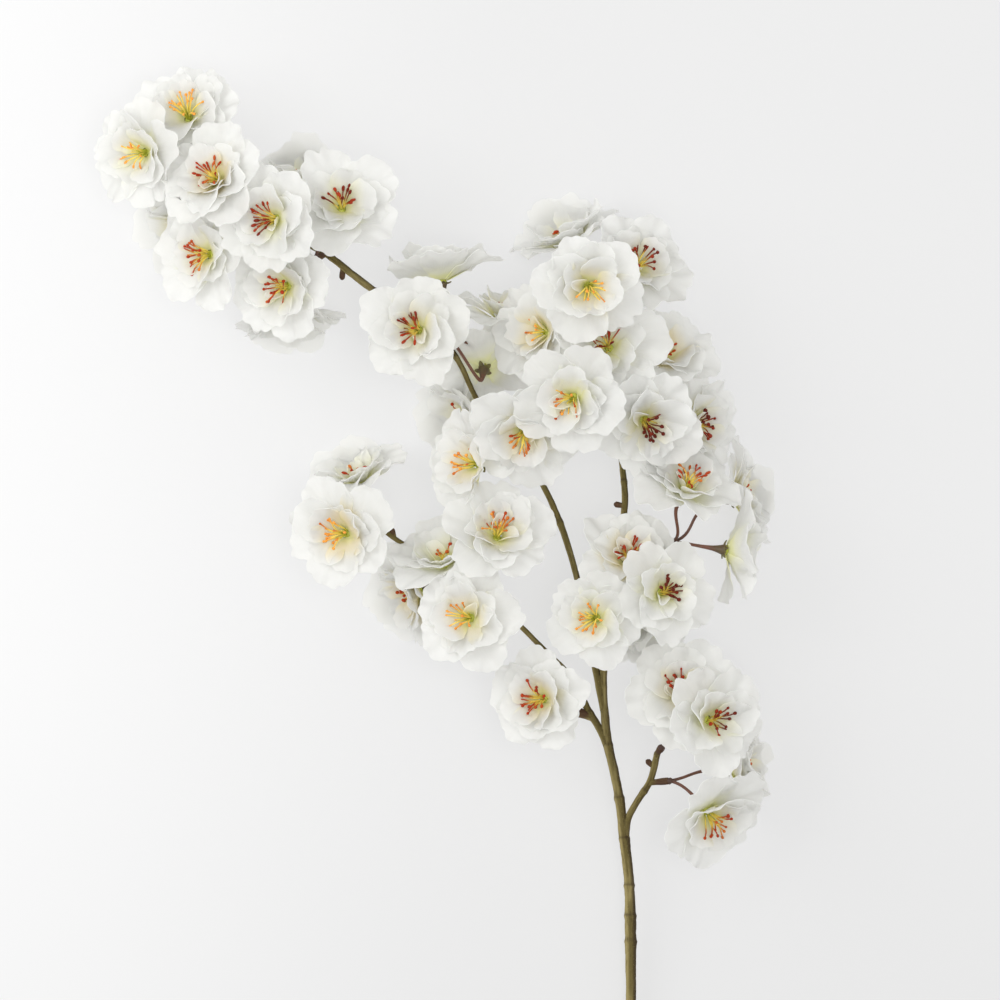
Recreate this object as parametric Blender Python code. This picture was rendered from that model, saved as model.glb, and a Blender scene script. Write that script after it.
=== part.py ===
"""Apple blossom stem: a cut, forked branch with semi-double white blooms, lying on a table.

Metres, +Z up, +Y from the cut end to the tips. The origin stands on the table, under the middle of
the bounding box. Tables hold millimetres, with X and Y counted from the middle of the view from above.

Three kinds of piece: the woody branch, the corymbs (pedicels, calyces and stamens that spring from one
spur), and the blooms (a ring of petals round each receptacle). Petals that would meet a neighbour are
bent clear of it, and those that reach the table lie flat on it.
"""

import itertools
import math
import random
from typing import NamedTuple

import bmesh
import bpy
from mathutils import Vector
from mathutils.bvhtree import BVHTree

MM = 0.001
MIDDLE_X, MIDDLE_Y = -32.0, -52.9  # the origin, seen from the middle of the view from above
GAP = 0.3 * MM  # between pieces that touch in life

# The bloom, which is about 55 mm across
RING_INNER, RING_OUTER, RING_HEIGHT = 2.0 * MM, 3.3 * MM, 2.2 * MM
PETAL_THICK = 0.7 * MM
LYING = PETAL_THICK / 2  # the height of the middle of a petal that lies on the table
RING_SIDES = 5  # with an outer petal on each side face and an inner one on each top face
OUTER_ROOT = (RING_OUTER * math.cos(math.pi / RING_SIDES), 0)  # from the axis and from the ring's middle
INNER_ROOT = ((RING_INNER + OUTER_ROOT[0]) / 2, RING_HEIGHT / 2)
INNER_TURN = 30.0  # degrees from the outer petal that shares its root
OUTER_CLAW, INNER_CLAW = RING_OUTER * math.sin(math.pi / RING_SIDES), 1.0 * MM  # half-widths at the root
OUTER_LENGTH, OUTER_HALF_WIDTH = 26.0 * MM, 10.8 * MM
INNER_LENGTH, INNER_HALF_WIDTH = 18.0 * MM, 6.2 * MM
OUTER_RISE = (30.0, 4.0)  # degrees above the ring's plane, at the root and at the tip
INNER_RISE = (54.0, 28.0)
OUTER_TWIST, INNER_TWIST = 9.0, 16.0  # degrees, so that each petal overlaps the next
OUTER_CUP, INNER_CUP = 0.22, 0.45
WIDEST = 0.62  # of the petal's length
ROUND_END = 1.02  # where its rounded end would close
AZIMUTH_VARY, TILT_VARY, TIP_VARY, TWIST_VARY = 2.0, 5.0, 7.0, 3.0  # degrees, from petal to petal
LENGTH_VARY, WIDTH_VARY = (0.94, 1.05), (0.97, 1.03)

# The stalk under it
PEDICEL_RADIUS = 0.8 * MM
CALYX_RADIUS = 3.0 * MM
CALYX_LENGTH = 8.0 * MM
CALYX_BELOW = 1.4 * MM  # its rim, below the ring's middle
NECK_RADIUS = RING_INNER - GAP
NECK_TOP = 1.6 * MM
ALONG_SPUR = 1.5  # how far a pedicel leaves along its spur, against straight to its calyx
KNOB_REIN, CALYX_REIN = 0.35, 0.4  # of the pedicel's span, to the handles of its curve
KNOB_RADIUS = 1.7 * MM
STAMENS = 4
STAMEN_LENGTH, STAMEN_LENGTH_VARY = 9.5 * MM, (0.85, 1.05)
STAMEN_SPLAY, STAMEN_SPLAY_VARY = 18.0, 7.0  # degrees from the bloom's axis
STAMEN_TURN_VARY = 0.15  # of the angle between two stamens
STAMEN_REACH, STAMEN_RISE = 0.8 * MM, 0.4 * MM  # the filament's root, from the throat
FILAMENT_RADIUS, ANTHER_RADIUS = 0.4 * MM, 0.75 * MM

# How far a petal may be bent, in degrees, and shortened to clear its neighbours, the least change first
BENDS = sorted(
    itertools.product((0, 8, -8, 16, -16, 26, -26, 38, -38, 52, -52, 66), (1, 0.94, 0.87, 0.79, 0.7, 0.6, 0.5)),
    key=lambda change: abs(change[0]) + 160 * (1 - change[1]),
)
CLEARANCE = 0.3 * MM
HUB_RADIUS, HUB_HALF = RING_OUTER + 1.5 * MM, RING_HEIGHT / 2 + 1.0 * MM
PAST_ROOT = 0.06  # of a petal's side, where it leaves its neighbour's


class Bloom(NamedTuple):
    """The throat's place in mm, how far the bloom leans from straight up and towards where, in degrees."""

    name: str
    spur: str
    x: float
    y: float
    z: float
    lean: float
    toward: float
    size: float = 1.0


class Petal(NamedTuple):
    number: int
    azimuth: float
    length: float
    half_width: float
    root_rise: float
    tip_rise: float
    twist: float
    cup: float
    outer: bool


BLOOMS = (
    Bloom("a1", "tip", -155.5, 190.5, 42, 32, 112),
    Bloom("a2", "tip", -176.5, 173.5, 50, 35, 185),
    Bloom("a3", "tip", -140, 158.5, 68, 32, 140),
    Bloom("a4", "arch", -111, 139.5, 76, 24, 180),
    Bloom("a6", "arch", -144.5, 122.5, 52, 37, 182),
    Bloom("a9", "arch", -157.5, 139, 15, 68, 215),
    Bloom("a5", "bend", -79, 145, 60, 24, 83),
    Bloom("a7", "bend", -105.5, 106.5, 60, 28, 193),
    Bloom("a8", "bend", -100, 157.5, 14, 72, 95),
    Bloom("a10", "bend", -106, 98, 14, 75, 275),
    Bloom("b1", "elbow", -40.5, 84.5, 66, 10, 150),
    Bloom("b2", "elbow", -29.5, 110, 40, 97, 97),
    Bloom("b3", "elbow", -8, 66, 42, 145, 80),
    Bloom("b4", "elbow", 1, 90, 34, 76, 75, 0.9),
    Bloom("b5", "inner", 12, 35, 68, 30, 265),
    Bloom("b6", "inner", -11, 18, 57, 42, 175),
    Bloom("b7", "inner", -15, 44, 14, 66, 200),
    Bloom("c1", "crown", 67, 115, 60, 35, 52),
    Bloom("c2", "crown", 43.5, 106, 88, 6, 300),
    Bloom("c9", "crown", 36, 128.5, 14, 75, 115),
    Bloom("c3", "neck", 23, 83.5, 56, 40, 170),
    Bloom("c4", "neck", 54, 75.5, 72, 10, 120),
    Bloom("c8", "neck", 82, 70, 50, 48, 70),
    Bloom("c5", "shoulder", 36.5, 51, 82, 13, 207),
    Bloom("c6", "shoulder", 71.5, 40, 72, 18, 310),
    Bloom("c7", "shoulder", 94, 38, 45, 56, 0),
    Bloom("c11", "side", 91.5, 4, 62, 50, 65),
    Bloom("c12", "side", 117.5, 1, 16, 80, 15),
    Bloom("c13", "side", 113.5, -25, 52, 103, 352),
    Bloom("d1", "heart", 63.5, -31, 56, 32, 78, 0.9),
    Bloom("d2", "heart", 80, -46, 70, 20, 20, 0.88),
    Bloom("d3", "heart", 48, -58.5, 66, 12, 190, 0.88),
    Bloom("d4", "heart", 75, -58, 14, 75, 285),
    Bloom("e1", "low", 90.5, -97, 56, 12, 105),
    Bloom("e2", "low", 103, -109.5, 68, 28, 5),
    Bloom("e3", "hook", 116.5, -135, 16, 84, 5),
    Bloom("e4", "hook", 103.5, -156, 44, 45, 310),
    Bloom("f1", "left", -76.5, -16.5, 60, 25, 185),
    Bloom("f2", "left", -70, 8, 15, 70, 112),
    Bloom("f3", "middle", -1.5, -19, 66, 28, 78),
    Bloom("f4", "middle", -14.5, -58.5, 68, 18, 180),
    Bloom("f5", "middle", -27.5, -32, 50, 52, 108),
    Bloom("f6", "middle", -41, -46, 14, 68, 205),
    Bloom("f7", "stub", 22, -99, 62, 24, 187, 0.94),
)

# Each limb's route, from its root: x, y, z and radius in mm
LIMBS = {
    "stem": (
        (66.5, -322, 2.53, 2.8), (66.3, -290, 6, 2.7), (66, -250, 11, 2.6), (65.6, -209, 16, 2.75),
        (65, -193, 18, 2.5), (62.5, -170, 21, 2.6), (60, -150, 24, 2.35), (57.5, -137, 26, 2.3),
        (54.5, -124, 28, 2.2), (53, -112, 30, 2.1), (52, -100, 32, 2.0), (52, -82, 34, 1.8), (54, -60, 37, 1.7),
        (58, -35, 40, 1.6), (61, -15, 42, 1.6), (62.5, 0, 43, 1.6), (61.5, 14, 44, 1.5), (60, 27, 45, 1.4),
        (57, 45, 46, 1.3), (54, 70, 48, 1.2), (51, 95, 51, 1.1), (50, 106, 53, 1.0),
    ),
    "arch": (
        (52.5, -106, 31, 1.9), (50, -95, 33, 1.7), (47.5, -82, 34, 1.6), (44, -60, 37, 1.5), (38, -37, 40, 1.4),
        (31, -14, 43, 1.45), (20.5, 9, 45, 1.3), (10, 24, 45, 1.3), (-4, 38, 45, 1.25), (-13, 53, 45, 1.2),
        (-20, 68, 45, 1.2), (-29, 81, 45, 1.2), (-43, 92, 45, 1.3), (-60, 102.5, 46, 1.5), (-74, 113, 46, 1.6),
        (-87, 123, 45, 1.4), (-105, 132, 44, 1.1), (-125, 145, 43, 1.0), (-142, 158, 43, 0.9),
        (-152, 164, 43, 0.9),
    ),
    "left": (
        (55, -126, 27.5, 1.9), (50, -115, 29, 1.6), (44.5, -106, 30, 1.6), (40, -97, 31, 1.4),
        (33, -86, 32, 1.3), (24, -77, 33, 1.2), (11, -64, 34, 1.2), (0, -54, 34, 1.2), (-9, -45, 34, 1.3),
        (-16, -40, 34, 1.2),
        (-28, -34, 34, 1.1), (-38, -30, 35, 1.1), (-46, -24, 36, 1.2), (-56, -17, 38, 1.0),
    ),
    "right": (
        (62.8, -172, 21, 1.8), (64.5, -160, 23, 1.6), (68.5, -152, 25, 1.5), (75, -142, 27, 1.5),
        (79, -127, 30, 1.5),
    ),
    "side": ((60, -20, 41.5, 1.3), (70, -22, 41, 1.1), (79, -21, 41, 1.0)),
}
LIMB_SIDES = {"stem": 7, "arch": 6, "left": 6, "right": 6, "side": 5}

# Where each corymb's spur leaves its limb, the knob that it ends in, and its radius, in mm
SPURS = {
    "tip": ((-152, 164, 43), (-152, 169.5, 47.5), 0.9),
    "arch": ((-127, 146.5, 43), (-129.5, 141.5, 49), 1.0),
    "bend": ((-87, 123, 45), (-91.5, 121, 51), 1.4),
    "elbow": ((-29, 81, 45), (-26, 81, 51.5), 1.2),
    "inner": ((-4, 38, 45), (1.5, 42.5, 49), 1.2),
    "crown": ((50, 106, 53), (49, 111.5, 57), 1.0),
    "neck": ((54, 70, 48), (54, 72, 54.5), 1.2),
    "shoulder": ((57, 45, 46), (59, 45, 53), 1.2),
    "side": ((79, -21, 41), (86, -21, 42), 1.0),
    "heart": ((55.5, -50, 38.3), (59, -49.5, 45.5), 1.4),
    "low": ((79, -127, 30), (81, -124, 36), 1.5),
    "hook": ((75, -142, 27), (85, -141, 29), 1.4),
    "left": ((-56, -17, 38), (-61.5, -13.5, 40.5), 1.0),
    "middle": ((-18, -39, 34), (-20, -45, 39.5), 1.2),
    "stub": ((46, -109, 29.5), (37, -105.5, 33), 1.9),
}

# Buds that stand off the bark: root and tip, in mm
BUDS = (
    ((-78.5, 116.5, 45), (-79, 110, 45.5)),
    ((62, -3, 43), (57, -2, 44)),
    ((28.5, -8, 44), (24, -8, 45)),
    ((77, -134, 28), (73.5, -130.5, 29)),
    ((-53, -19, 37), (-54.5, -14, 38)),
)
BUD_RADIUS, BUD_TIP_RADIUS = 1.1 * MM, 0.4 * MM


def clear_scene():
    for obj in list(bpy.data.objects):
        bpy.data.objects.remove(obj)


def place(x, y, z):
    """A point of the tables in the object's own frame."""
    return Vector((x - MIDDLE_X, y - MIDDLE_Y, z)) * MM


def material(name, colour, roughness):
    made = bpy.data.materials.new(name)
    made.use_nodes = True
    shader = made.node_tree.nodes["Principled BSDF"]
    shader.inputs["Base Color"].default_value = (*colour, 1)
    shader.inputs["Roughness"].default_value = roughness
    shader.inputs["Metallic"].default_value = 0
    made.diffuse_color = (*colour, 1)
    return made


def mesh_object(name, points, faces, finish):
    """A closed body with its faces turned out."""
    mesh = bpy.data.meshes.new(name)
    mesh.from_pydata(points, [], faces)
    shape = bmesh.new()
    shape.from_mesh(mesh)
    bmesh.ops.recalc_face_normals(shape, faces=shape.faces)
    shape.to_mesh(mesh)
    shape.free()
    mesh.materials.append(finish)
    obj = bpy.data.objects.new(name, mesh)
    bpy.context.scene.collection.objects.link(obj)
    return obj


def loft(rings):
    """Points and faces of a body through these rings of points, closed at both ends."""
    sides = len(rings[0])
    points = [point for ring in rings for point in ring]
    faces = []
    for start in range(0, len(points) - sides, sides):
        for i in range(sides):
            j = (i + 1) % sides
            faces.append((start + i, start + j, start + sides + j, start + sides + i))
    faces.append(tuple(range(sides)))
    faces.append(tuple(range(len(points) - sides, len(points))))
    return points, faces


def ring_of(centre, along, side, radius, sides):
    """Points of a polygon round a line that runs along, the first of them towards side."""
    other = along.cross(side).normalized()
    turns = (2 * math.pi * i / sides for i in range(sides))
    return [centre + radius * (math.cos(turn) * side + math.sin(turn) * other) for turn in turns]


def stations_of(route):
    return [(place(x, y, z), radius * MM) for x, y, z, radius in route]


def tube(name, stations, sides, finish):
    """A limb through places and radii, its rings turned as little as can be from one to the next."""
    side = Vector((0, 0, 1))
    rings = []
    for i, (centre, radius) in enumerate(stations):
        before = stations[max(i - 1, 0)][0]
        after = stations[min(i + 1, len(stations) - 1)][0]
        along = (after - before).normalized()
        side = (side - side.dot(along) * along).normalized()
        rings.append(ring_of(centre, along, side, radius, sides))
    return mesh_object(name, *loft(rings), finish)


def axis_of(bloom):
    lean, toward = math.radians(bloom.lean), math.radians(bloom.toward)
    return Vector((math.sin(lean) * math.cos(toward), math.sin(lean) * math.sin(toward), math.cos(lean)))


def calyx_foot(bloom):
    """Where the pedicel widens into the calyx."""
    return place(bloom.x, bloom.y, bloom.z) - axis_of(bloom) * (CALYX_BELOW + CALYX_LENGTH)


def spur_way(name):
    """A spur's root, its direction and its knob's centre."""
    root, knob, _ = SPURS[name]
    root, knob = place(*root), place(*knob)
    return root, (knob - root).normalized(), knob


def bloom_frame(bloom):
    """The throat, the axis, and a side that is square to the pedicel's own plane."""
    axis = axis_of(bloom)
    knob = spur_way(bloom.spur)[2]
    side = axis.cross(calyx_foot(bloom) - knob).normalized()
    return place(bloom.x, bloom.y, bloom.z), axis, side


def bezier(a, b, c, d, t):
    s = 1 - t
    return s**3 * a + 3 * s * s * t * b + 3 * s * t * t * c + t**3 * d


def stalk(bloom, finish):
    """Pedicel, calyx and receptacle in one body, from the spur's knob to above the petals' ring."""
    throat, axis, side = bloom_frame(bloom)
    _, way, knob = spur_way(bloom.spur)
    foot = calyx_foot(bloom)
    span = (foot - knob).length
    leave = (ALONG_SPUR * way + (foot - knob).normalized()).normalized()
    middle = bezier(knob, knob + leave * span * KNOB_REIN, foot - axis * span * CALYX_REIN, foot, 0.5)
    depart, arrive = (middle - knob).normalized(), (foot - middle).normalized()
    rings = []
    for height, radius in ((NECK_TOP, NECK_RADIUS), (-CALYX_BELOW, NECK_RADIUS), (-CALYX_BELOW, CALYX_RADIUS)):
        rings.append(ring_of(throat + axis * height, axis, side, radius, RING_SIDES))
    for centre, way in ((foot, axis + arrive), (middle, arrive + depart), (knob, depart)):
        along = way.normalized()
        side = (side - side.dot(along) * along).normalized()
        rings.append(ring_of(centre, along, side, PEDICEL_RADIUS, RING_SIDES))
    return mesh_object(f"stalk_{bloom.name}", *loft(rings), finish)


def stamen(bloom, number, finish):
    """A three-sided filament that widens to its anther."""
    throat, axis, side = bloom_frame(bloom)
    other = axis.cross(side)
    draw = random.Random(f"{bloom.name} stamen {number}")
    turn = 2 * math.pi * (number + draw.uniform(-STAMEN_TURN_VARY, STAMEN_TURN_VARY)) / STAMENS
    splay = math.radians(STAMEN_SPLAY + draw.uniform(-STAMEN_SPLAY_VARY, STAMEN_SPLAY_VARY))
    outward = math.cos(turn) * side + math.sin(turn) * other
    way = (math.cos(splay) * axis + math.sin(splay) * outward).normalized()
    root = throat + axis * STAMEN_RISE + outward * STAMEN_REACH
    tip = root + way * STAMEN_LENGTH * draw.uniform(*STAMEN_LENGTH_VARY)
    across = axis.cross(way).normalized()
    rings = [ring_of(root, way, across, FILAMENT_RADIUS, 3), ring_of(tip, way, across, ANTHER_RADIUS, 3)]
    return mesh_object(f"stamen_{bloom.name}_{number}", *loft(rings), finish)


def petals_of(bloom):
    """The bloom's petals, outer layer first, with a seeded draw for each."""
    draw = random.Random(f"{bloom.name} petals")
    found = []
    for outer in (True, False):
        length, half_width = (OUTER_LENGTH, OUTER_HALF_WIDTH) if outer else (INNER_LENGTH, INNER_HALF_WIDTH)
        rise = OUTER_RISE if outer else INNER_RISE
        turn, twist, cup = (0, OUTER_TWIST, OUTER_CUP) if outer else (INNER_TURN, INNER_TWIST, INNER_CUP)
        for i in range(RING_SIDES):
            tilt = draw.uniform(-TILT_VARY, TILT_VARY)
            azimuth = 360 * (i + 0.5) / RING_SIDES + turn + draw.uniform(-AZIMUTH_VARY, AZIMUTH_VARY)
            found.append(
                Petal(
                    number=len(found),
                    azimuth=math.radians(azimuth),
                    length=length * bloom.size * draw.uniform(*LENGTH_VARY),
                    half_width=half_width * bloom.size * draw.uniform(*WIDTH_VARY),
                    root_rise=rise[0] + tilt,
                    tip_rise=rise[1] + tilt + draw.uniform(-TIP_VARY, TIP_VARY),
                    twist=math.radians(twist + draw.uniform(-TWIST_VARY, TWIST_VARY)),
                    cup=cup,
                    outer=outer,
                )
            )
    return found


def half_width_at(petal, along):
    """From the root's own width, a petal widens and then comes round to its tip."""
    if along < WIDEST:
        root = OUTER_CLAW if petal.outer else INNER_CLAW
        return root + (petal.half_width - root) * math.sin(math.pi / 2 * along / WIDEST)
    return petal.half_width * math.sqrt(1 - ((along - WIDEST) / (ROUND_END - WIDEST)) ** 2)


def petal_point(frame, petal, along, across, bend=0.0, stretch=1.0):
    """A point of the petal's middle surface: its midrib is an arc, its sides cup and twist, and what would
    go under the table lies along it, towards where the bloom faces."""
    throat, axis, side = frame
    start = math.radians(petal.root_rise + 0.5 * bend)
    end = math.radians(petal.tip_rise + bend)
    turned = start + (end - start) * along
    length = petal.length * stretch
    root_reach, root_rise = OUTER_ROOT if petal.outer else INNER_ROOT
    reach = root_reach + length * (math.sin(turned) - math.sin(start)) / (end - start)
    rise = root_rise + length * (math.cos(start) - math.cos(turned)) / (end - start)
    sideways = across * half_width_at(petal, along) * min(1, stretch + 0.1)
    off = petal.cup * sideways**2 / petal.half_width + sideways * math.tan(petal.twist)
    outward = math.cos(petal.azimuth) * side + math.sin(petal.azimuth) * axis.cross(side)
    tangent = axis.cross(outward)
    outward_part = outward * (reach - math.sin(turned) * off)
    point = throat + outward_part + axis * (rise + math.cos(turned) * off) + tangent * sideways
    under = LYING - point.z
    if under > 0:
        point += under * (Vector((axis.x, axis.y, 0)).normalized() + Vector((0, 0, 1)))
    return point


# The blade's rim as (along, across), from one side of its root round to the other
OUTER_RIM = ((WIDEST, -1), (0.94, -1), (0.94, 1), (WIDEST, 1))
INNER_RIM = ((WIDEST, -1), (1.0, 0), (WIDEST, 1))


def ring_corners(frame):
    """The ring's corners, as four rows: inner and outer below, outer and inner above."""
    throat, axis, side = frame
    rows = ((-1, RING_INNER), (-1, RING_OUTER), (1, RING_OUTER), (1, RING_INNER))
    return [ring_of(throat + axis * h * RING_HEIGHT / 2, axis, side, radius, RING_SIDES) for h, radius in rows]


def root_corners(number):
    """The upper and the lower edge of a petal's root, as (row, corner) of the ring's corners."""
    upper_row, lower_row = (2, 1) if number < RING_SIDES else (3, 2)
    ends = (number % RING_SIDES, (number + 1) % RING_SIDES)
    return [(upper_row, end) for end in ends], [(lower_row, end) for end in ends]


def blade_sides(frame, petal, bend=0.0, stretch=1.0, thick=PETAL_THICK, past=0.0):
    """The upper and the lower points of a blade: its rim, root first and last, then its middle. Past leaves out
    that share of its root."""
    corners = ring_corners(frame)
    roots = [[corners[row][end] for row, end in edge] for edge in root_corners(petal.number)]
    rim = OUTER_RIM if petal.outer else INNER_RIM
    middle = [petal_point(frame, petal, u, v, bend, stretch) for u, v in (*rim, (WIDEST, 0))]
    left, right = ((roots[0][end] + roots[1][end]) / 2 for end in (0, 1))
    middle = [left, *middle[:-1], right, middle[-1]]
    normals = [Vector() for _ in middle]
    for a, b, c in fan(len(middle)):
        face = (middle[b] - middle[a]).cross(middle[c] - middle[a])
        for corner in (a, b, c):
            normals[corner] += face
    sides = []
    for sign, root in zip((1, -1), roots):
        points = []
        for point, normal in zip(middle, normals):
            way = normal.normalized()
            if point.z < LYING + 0.01 * MM:
                way = Vector((0, 0, math.copysign(1, way.z)))
            moved = point + sign * way * thick / 2
            moved.z = max(moved.z, LYING - thick / 2)
            points.append(moved)
        points[0] = root[0].lerp(points[1], past)
        points[-2] = root[1].lerp(points[-3], past)
        sides.append(points)
    return sides


def fan(count):
    """Triangles round the last of these points."""
    rim = count - 1
    return [(i, (i + 1) % rim, rim) for i in range(rim)]


def slab(upper, lower):
    """A closed solid between two fans, split alike on both."""
    count = len(upper)
    faces = fan(count) + [(b + count, a + count, c + count) for a, b, c in fan(count)]
    for i in range(count - 1):
        j = (i + 1) % (count - 1)
        faces += [(j, i, i + count), (j, i + count, j + count)]
    return upper + lower, faces


def bloom_shape(frame, petals):
    """Points and faces of the petals' ring with the petals growing out of its faces: outer ones first."""
    points = [point for row in ring_corners(frame) for point in row]
    faces = []
    for number, bent in enumerate(petals):
        roots = [[row * RING_SIDES + end for row, end in edge] for edge in root_corners(number)]
        if not bent:
            faces.append((*roots[0], *reversed(roots[1])))
            continue
        rows = []
        for side_points, root in zip(blade_sides(frame, *bent), roots):
            start = len(points)
            points += [*side_points[1:-2], side_points[-1]]
            rows.append([root[0], *range(start, len(points) - 1), root[1], len(points) - 1])
        upper, lower = rows
        for row in rows:
            faces += [tuple(row[k] for k in corner) for corner in fan(len(row))]
        for a in range(len(upper) - 2):
            faces += [(upper[a], upper[a + 1], lower[a]), (upper[a + 1], lower[a + 1], lower[a])]
    for i in range(RING_SIDES):
        j = (i + 1) % RING_SIDES
        for row in (1, 3):
            faces.append((i, j, row * RING_SIDES + j, row * RING_SIDES + i))
    return points, faces


def fuse(body, others):
    """One Boolean union on a collection, applied, with the collection's objects then removed."""
    pieces = bpy.data.collections.new("pieces")
    bpy.context.scene.collection.children.link(pieces)
    for other in others:
        bpy.context.scene.collection.objects.unlink(other)
        pieces.objects.link(other)
    union = body.modifiers.new("union", "BOOLEAN")
    union.operation = "UNION"
    union.solver = "MANIFOLD"
    union.operand_type = "COLLECTION"
    union.collection = pieces
    graph = bpy.context.evaluated_depsgraph_get()
    joined = bpy.data.meshes.new_from_object(body.evaluated_get(graph))
    body.modifiers.remove(union)
    body.data = joined
    for other in others:
        bpy.data.objects.remove(other)
    bpy.data.collections.remove(pieces)
    return body


def tree_of(points, faces):
    return BVHTree.FromPolygons([tuple(point) for point in points], faces, all_triangles=False)


def object_tree(obj):
    faces = [tuple(face.vertices) for face in obj.data.polygons]
    return tree_of([vertex.co for vertex in obj.data.vertices], faces)


def bend_clear(frame, petal, taken, siblings):
    """The least bend and shortening with which the petal meets nothing, and its blade's tree past the root."""
    for bend, stretch in BENDS:
        whole = tree_of(*slab(*blade_sides(frame, petal, bend, stretch, PETAL_THICK + 2 * CLEARANCE)))
        if any(whole.overlap(tree) for tree in taken):
            continue
        past_root = tree_of(*slab(*blade_sides(frame, petal, bend, stretch, past=PAST_ROOT)))
        if not any(past_root.overlap(tree) for tree in siblings):
            return (petal, bend, stretch), past_root
    return None, None


def make_branch(bark):
    limbs = [tube(f"limb_{name}", stations_of(route), LIMB_SIDES[name], bark) for name, route in LIMBS.items()]
    for name, (_, _, radius) in SPURS.items():
        root, way, knob = spur_way(name)
        end = knob - way * (KNOB_RADIUS + GAP)
        stations = [(root, radius * MM), (root.lerp(end, 0.6), radius * 1.15 * MM), (end, radius * 1.1 * MM)]
        limbs.append(tube(f"spur_{name}", stations, 5, bark))
    for root, tip in BUDS:
        root, tip = place(*root), place(*tip)
        stations = [(root, BUD_RADIUS), (root.lerp(tip, 0.6), BUD_RADIUS), (tip, BUD_TIP_RADIUS)]
        limbs.append(tube("bud", stations, 4, bark))
    branch = fuse(limbs[0], limbs[1:])
    branch.name = "branch"
    return branch


def make_corymb(name, finish):
    """The knob on the spur, with the stalks and stamens of its blooms fused to it."""
    _, way, knob = spur_way(name)
    side = way.orthogonal().normalized()
    rings = [
        ring_of(knob - way * KNOB_RADIUS, way, side, KNOB_RADIUS * 0.7, 5),
        ring_of(knob, way, side, KNOB_RADIUS, 5),
        ring_of(knob + way * KNOB_RADIUS * 0.8, way, side, KNOB_RADIUS * 0.6, 5),
    ]
    body = mesh_object(f"corymb_{name}", *loft(rings), finish)
    blooms = [bloom for bloom in BLOOMS if bloom.spur == name]
    pieces = [stalk(bloom, finish) for bloom in blooms]
    pieces += [stamen(bloom, number, finish) for bloom in blooms for number in range(STAMENS)]
    return fuse(body, pieces)


def hub(bloom):
    """The tree of a drum round the petals' ring, which other blooms' petals keep off."""
    throat, axis, side = bloom_frame(bloom)
    ends = (throat + axis * height * HUB_HALF for height in (-1, 1))
    return tree_of(*loft([ring_of(end, axis, side, HUB_RADIUS, RING_SIDES) for end in ends]))


def make_bloom(bloom, taken, finish):
    """The ring with its petals, bent clear of the solids that are taken and of each other."""
    frame = bloom_frame(bloom)
    petals, siblings = [], []
    for petal in petals_of(bloom):
        bent, tree = bend_clear(frame, petal, taken, siblings)
        petals.append(bent)
        if tree:
            siblings.append(tree)
    return mesh_object(f"bloom_{bloom.name}", *bloom_shape(frame, petals), finish)


def main():
    clear_scene()
    bark = material("bark", (0.16, 0.115, 0.05), 0.75)
    green = material("stalk_and_stamen", (0.42, 0.30, 0.07), 0.6)
    white = material("petal", (0.90, 0.90, 0.86), 0.55)
    branch = make_branch(bark)
    corymbs = {name: make_corymb(name, green) for name in SPURS}
    wood = object_tree(branch)
    stalks = {name: object_tree(corymb) for name, corymb in corymbs.items()}
    hubs = {bloom: hub(bloom) for bloom in BLOOMS}
    done = []
    for bloom in sorted(BLOOMS, key=lambda one: -one.z):
        others = [tree for other, tree in hubs.items() if other != bloom]
        done.append(object_tree(make_bloom(bloom, [wood, *stalks.values(), *others, *done], white)))


main()
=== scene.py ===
"""Apple blossom stem, dressed: ruffled petals, stamens, stalks with their calyces, and bark, all in the
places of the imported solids. Metres, +Z up. Tables hold millimetres, counted from the middle of the view
from above."""

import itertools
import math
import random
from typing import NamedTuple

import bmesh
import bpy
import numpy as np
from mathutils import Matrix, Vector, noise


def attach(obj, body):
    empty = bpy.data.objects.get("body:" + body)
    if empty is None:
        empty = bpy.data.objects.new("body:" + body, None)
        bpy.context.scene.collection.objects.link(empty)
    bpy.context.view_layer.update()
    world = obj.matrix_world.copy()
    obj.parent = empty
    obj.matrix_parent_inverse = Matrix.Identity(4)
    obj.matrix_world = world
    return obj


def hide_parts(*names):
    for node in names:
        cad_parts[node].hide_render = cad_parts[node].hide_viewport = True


bl_info = {
    "name": "Apple blossom stem",
    "version": (1, 0, 0),
    "blender": (4, 5, 0),
    "location": "3D View > Sidebar > Blossom",
    "description": "Dresses the packed solids of a cut apple blossom stem, and lights it from above",
    "category": "Object",
}

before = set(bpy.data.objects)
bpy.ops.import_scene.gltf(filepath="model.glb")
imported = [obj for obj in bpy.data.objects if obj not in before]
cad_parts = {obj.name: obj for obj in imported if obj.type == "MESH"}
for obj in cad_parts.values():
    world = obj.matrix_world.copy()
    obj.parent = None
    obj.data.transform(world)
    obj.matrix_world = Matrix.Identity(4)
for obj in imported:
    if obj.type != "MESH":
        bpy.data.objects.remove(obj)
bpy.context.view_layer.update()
BODY = "root"

MM = 0.001
MIDDLE = np.array([-32.0, -52.9, 0.0])  # the origin, seen from the middle of the view from above

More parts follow.
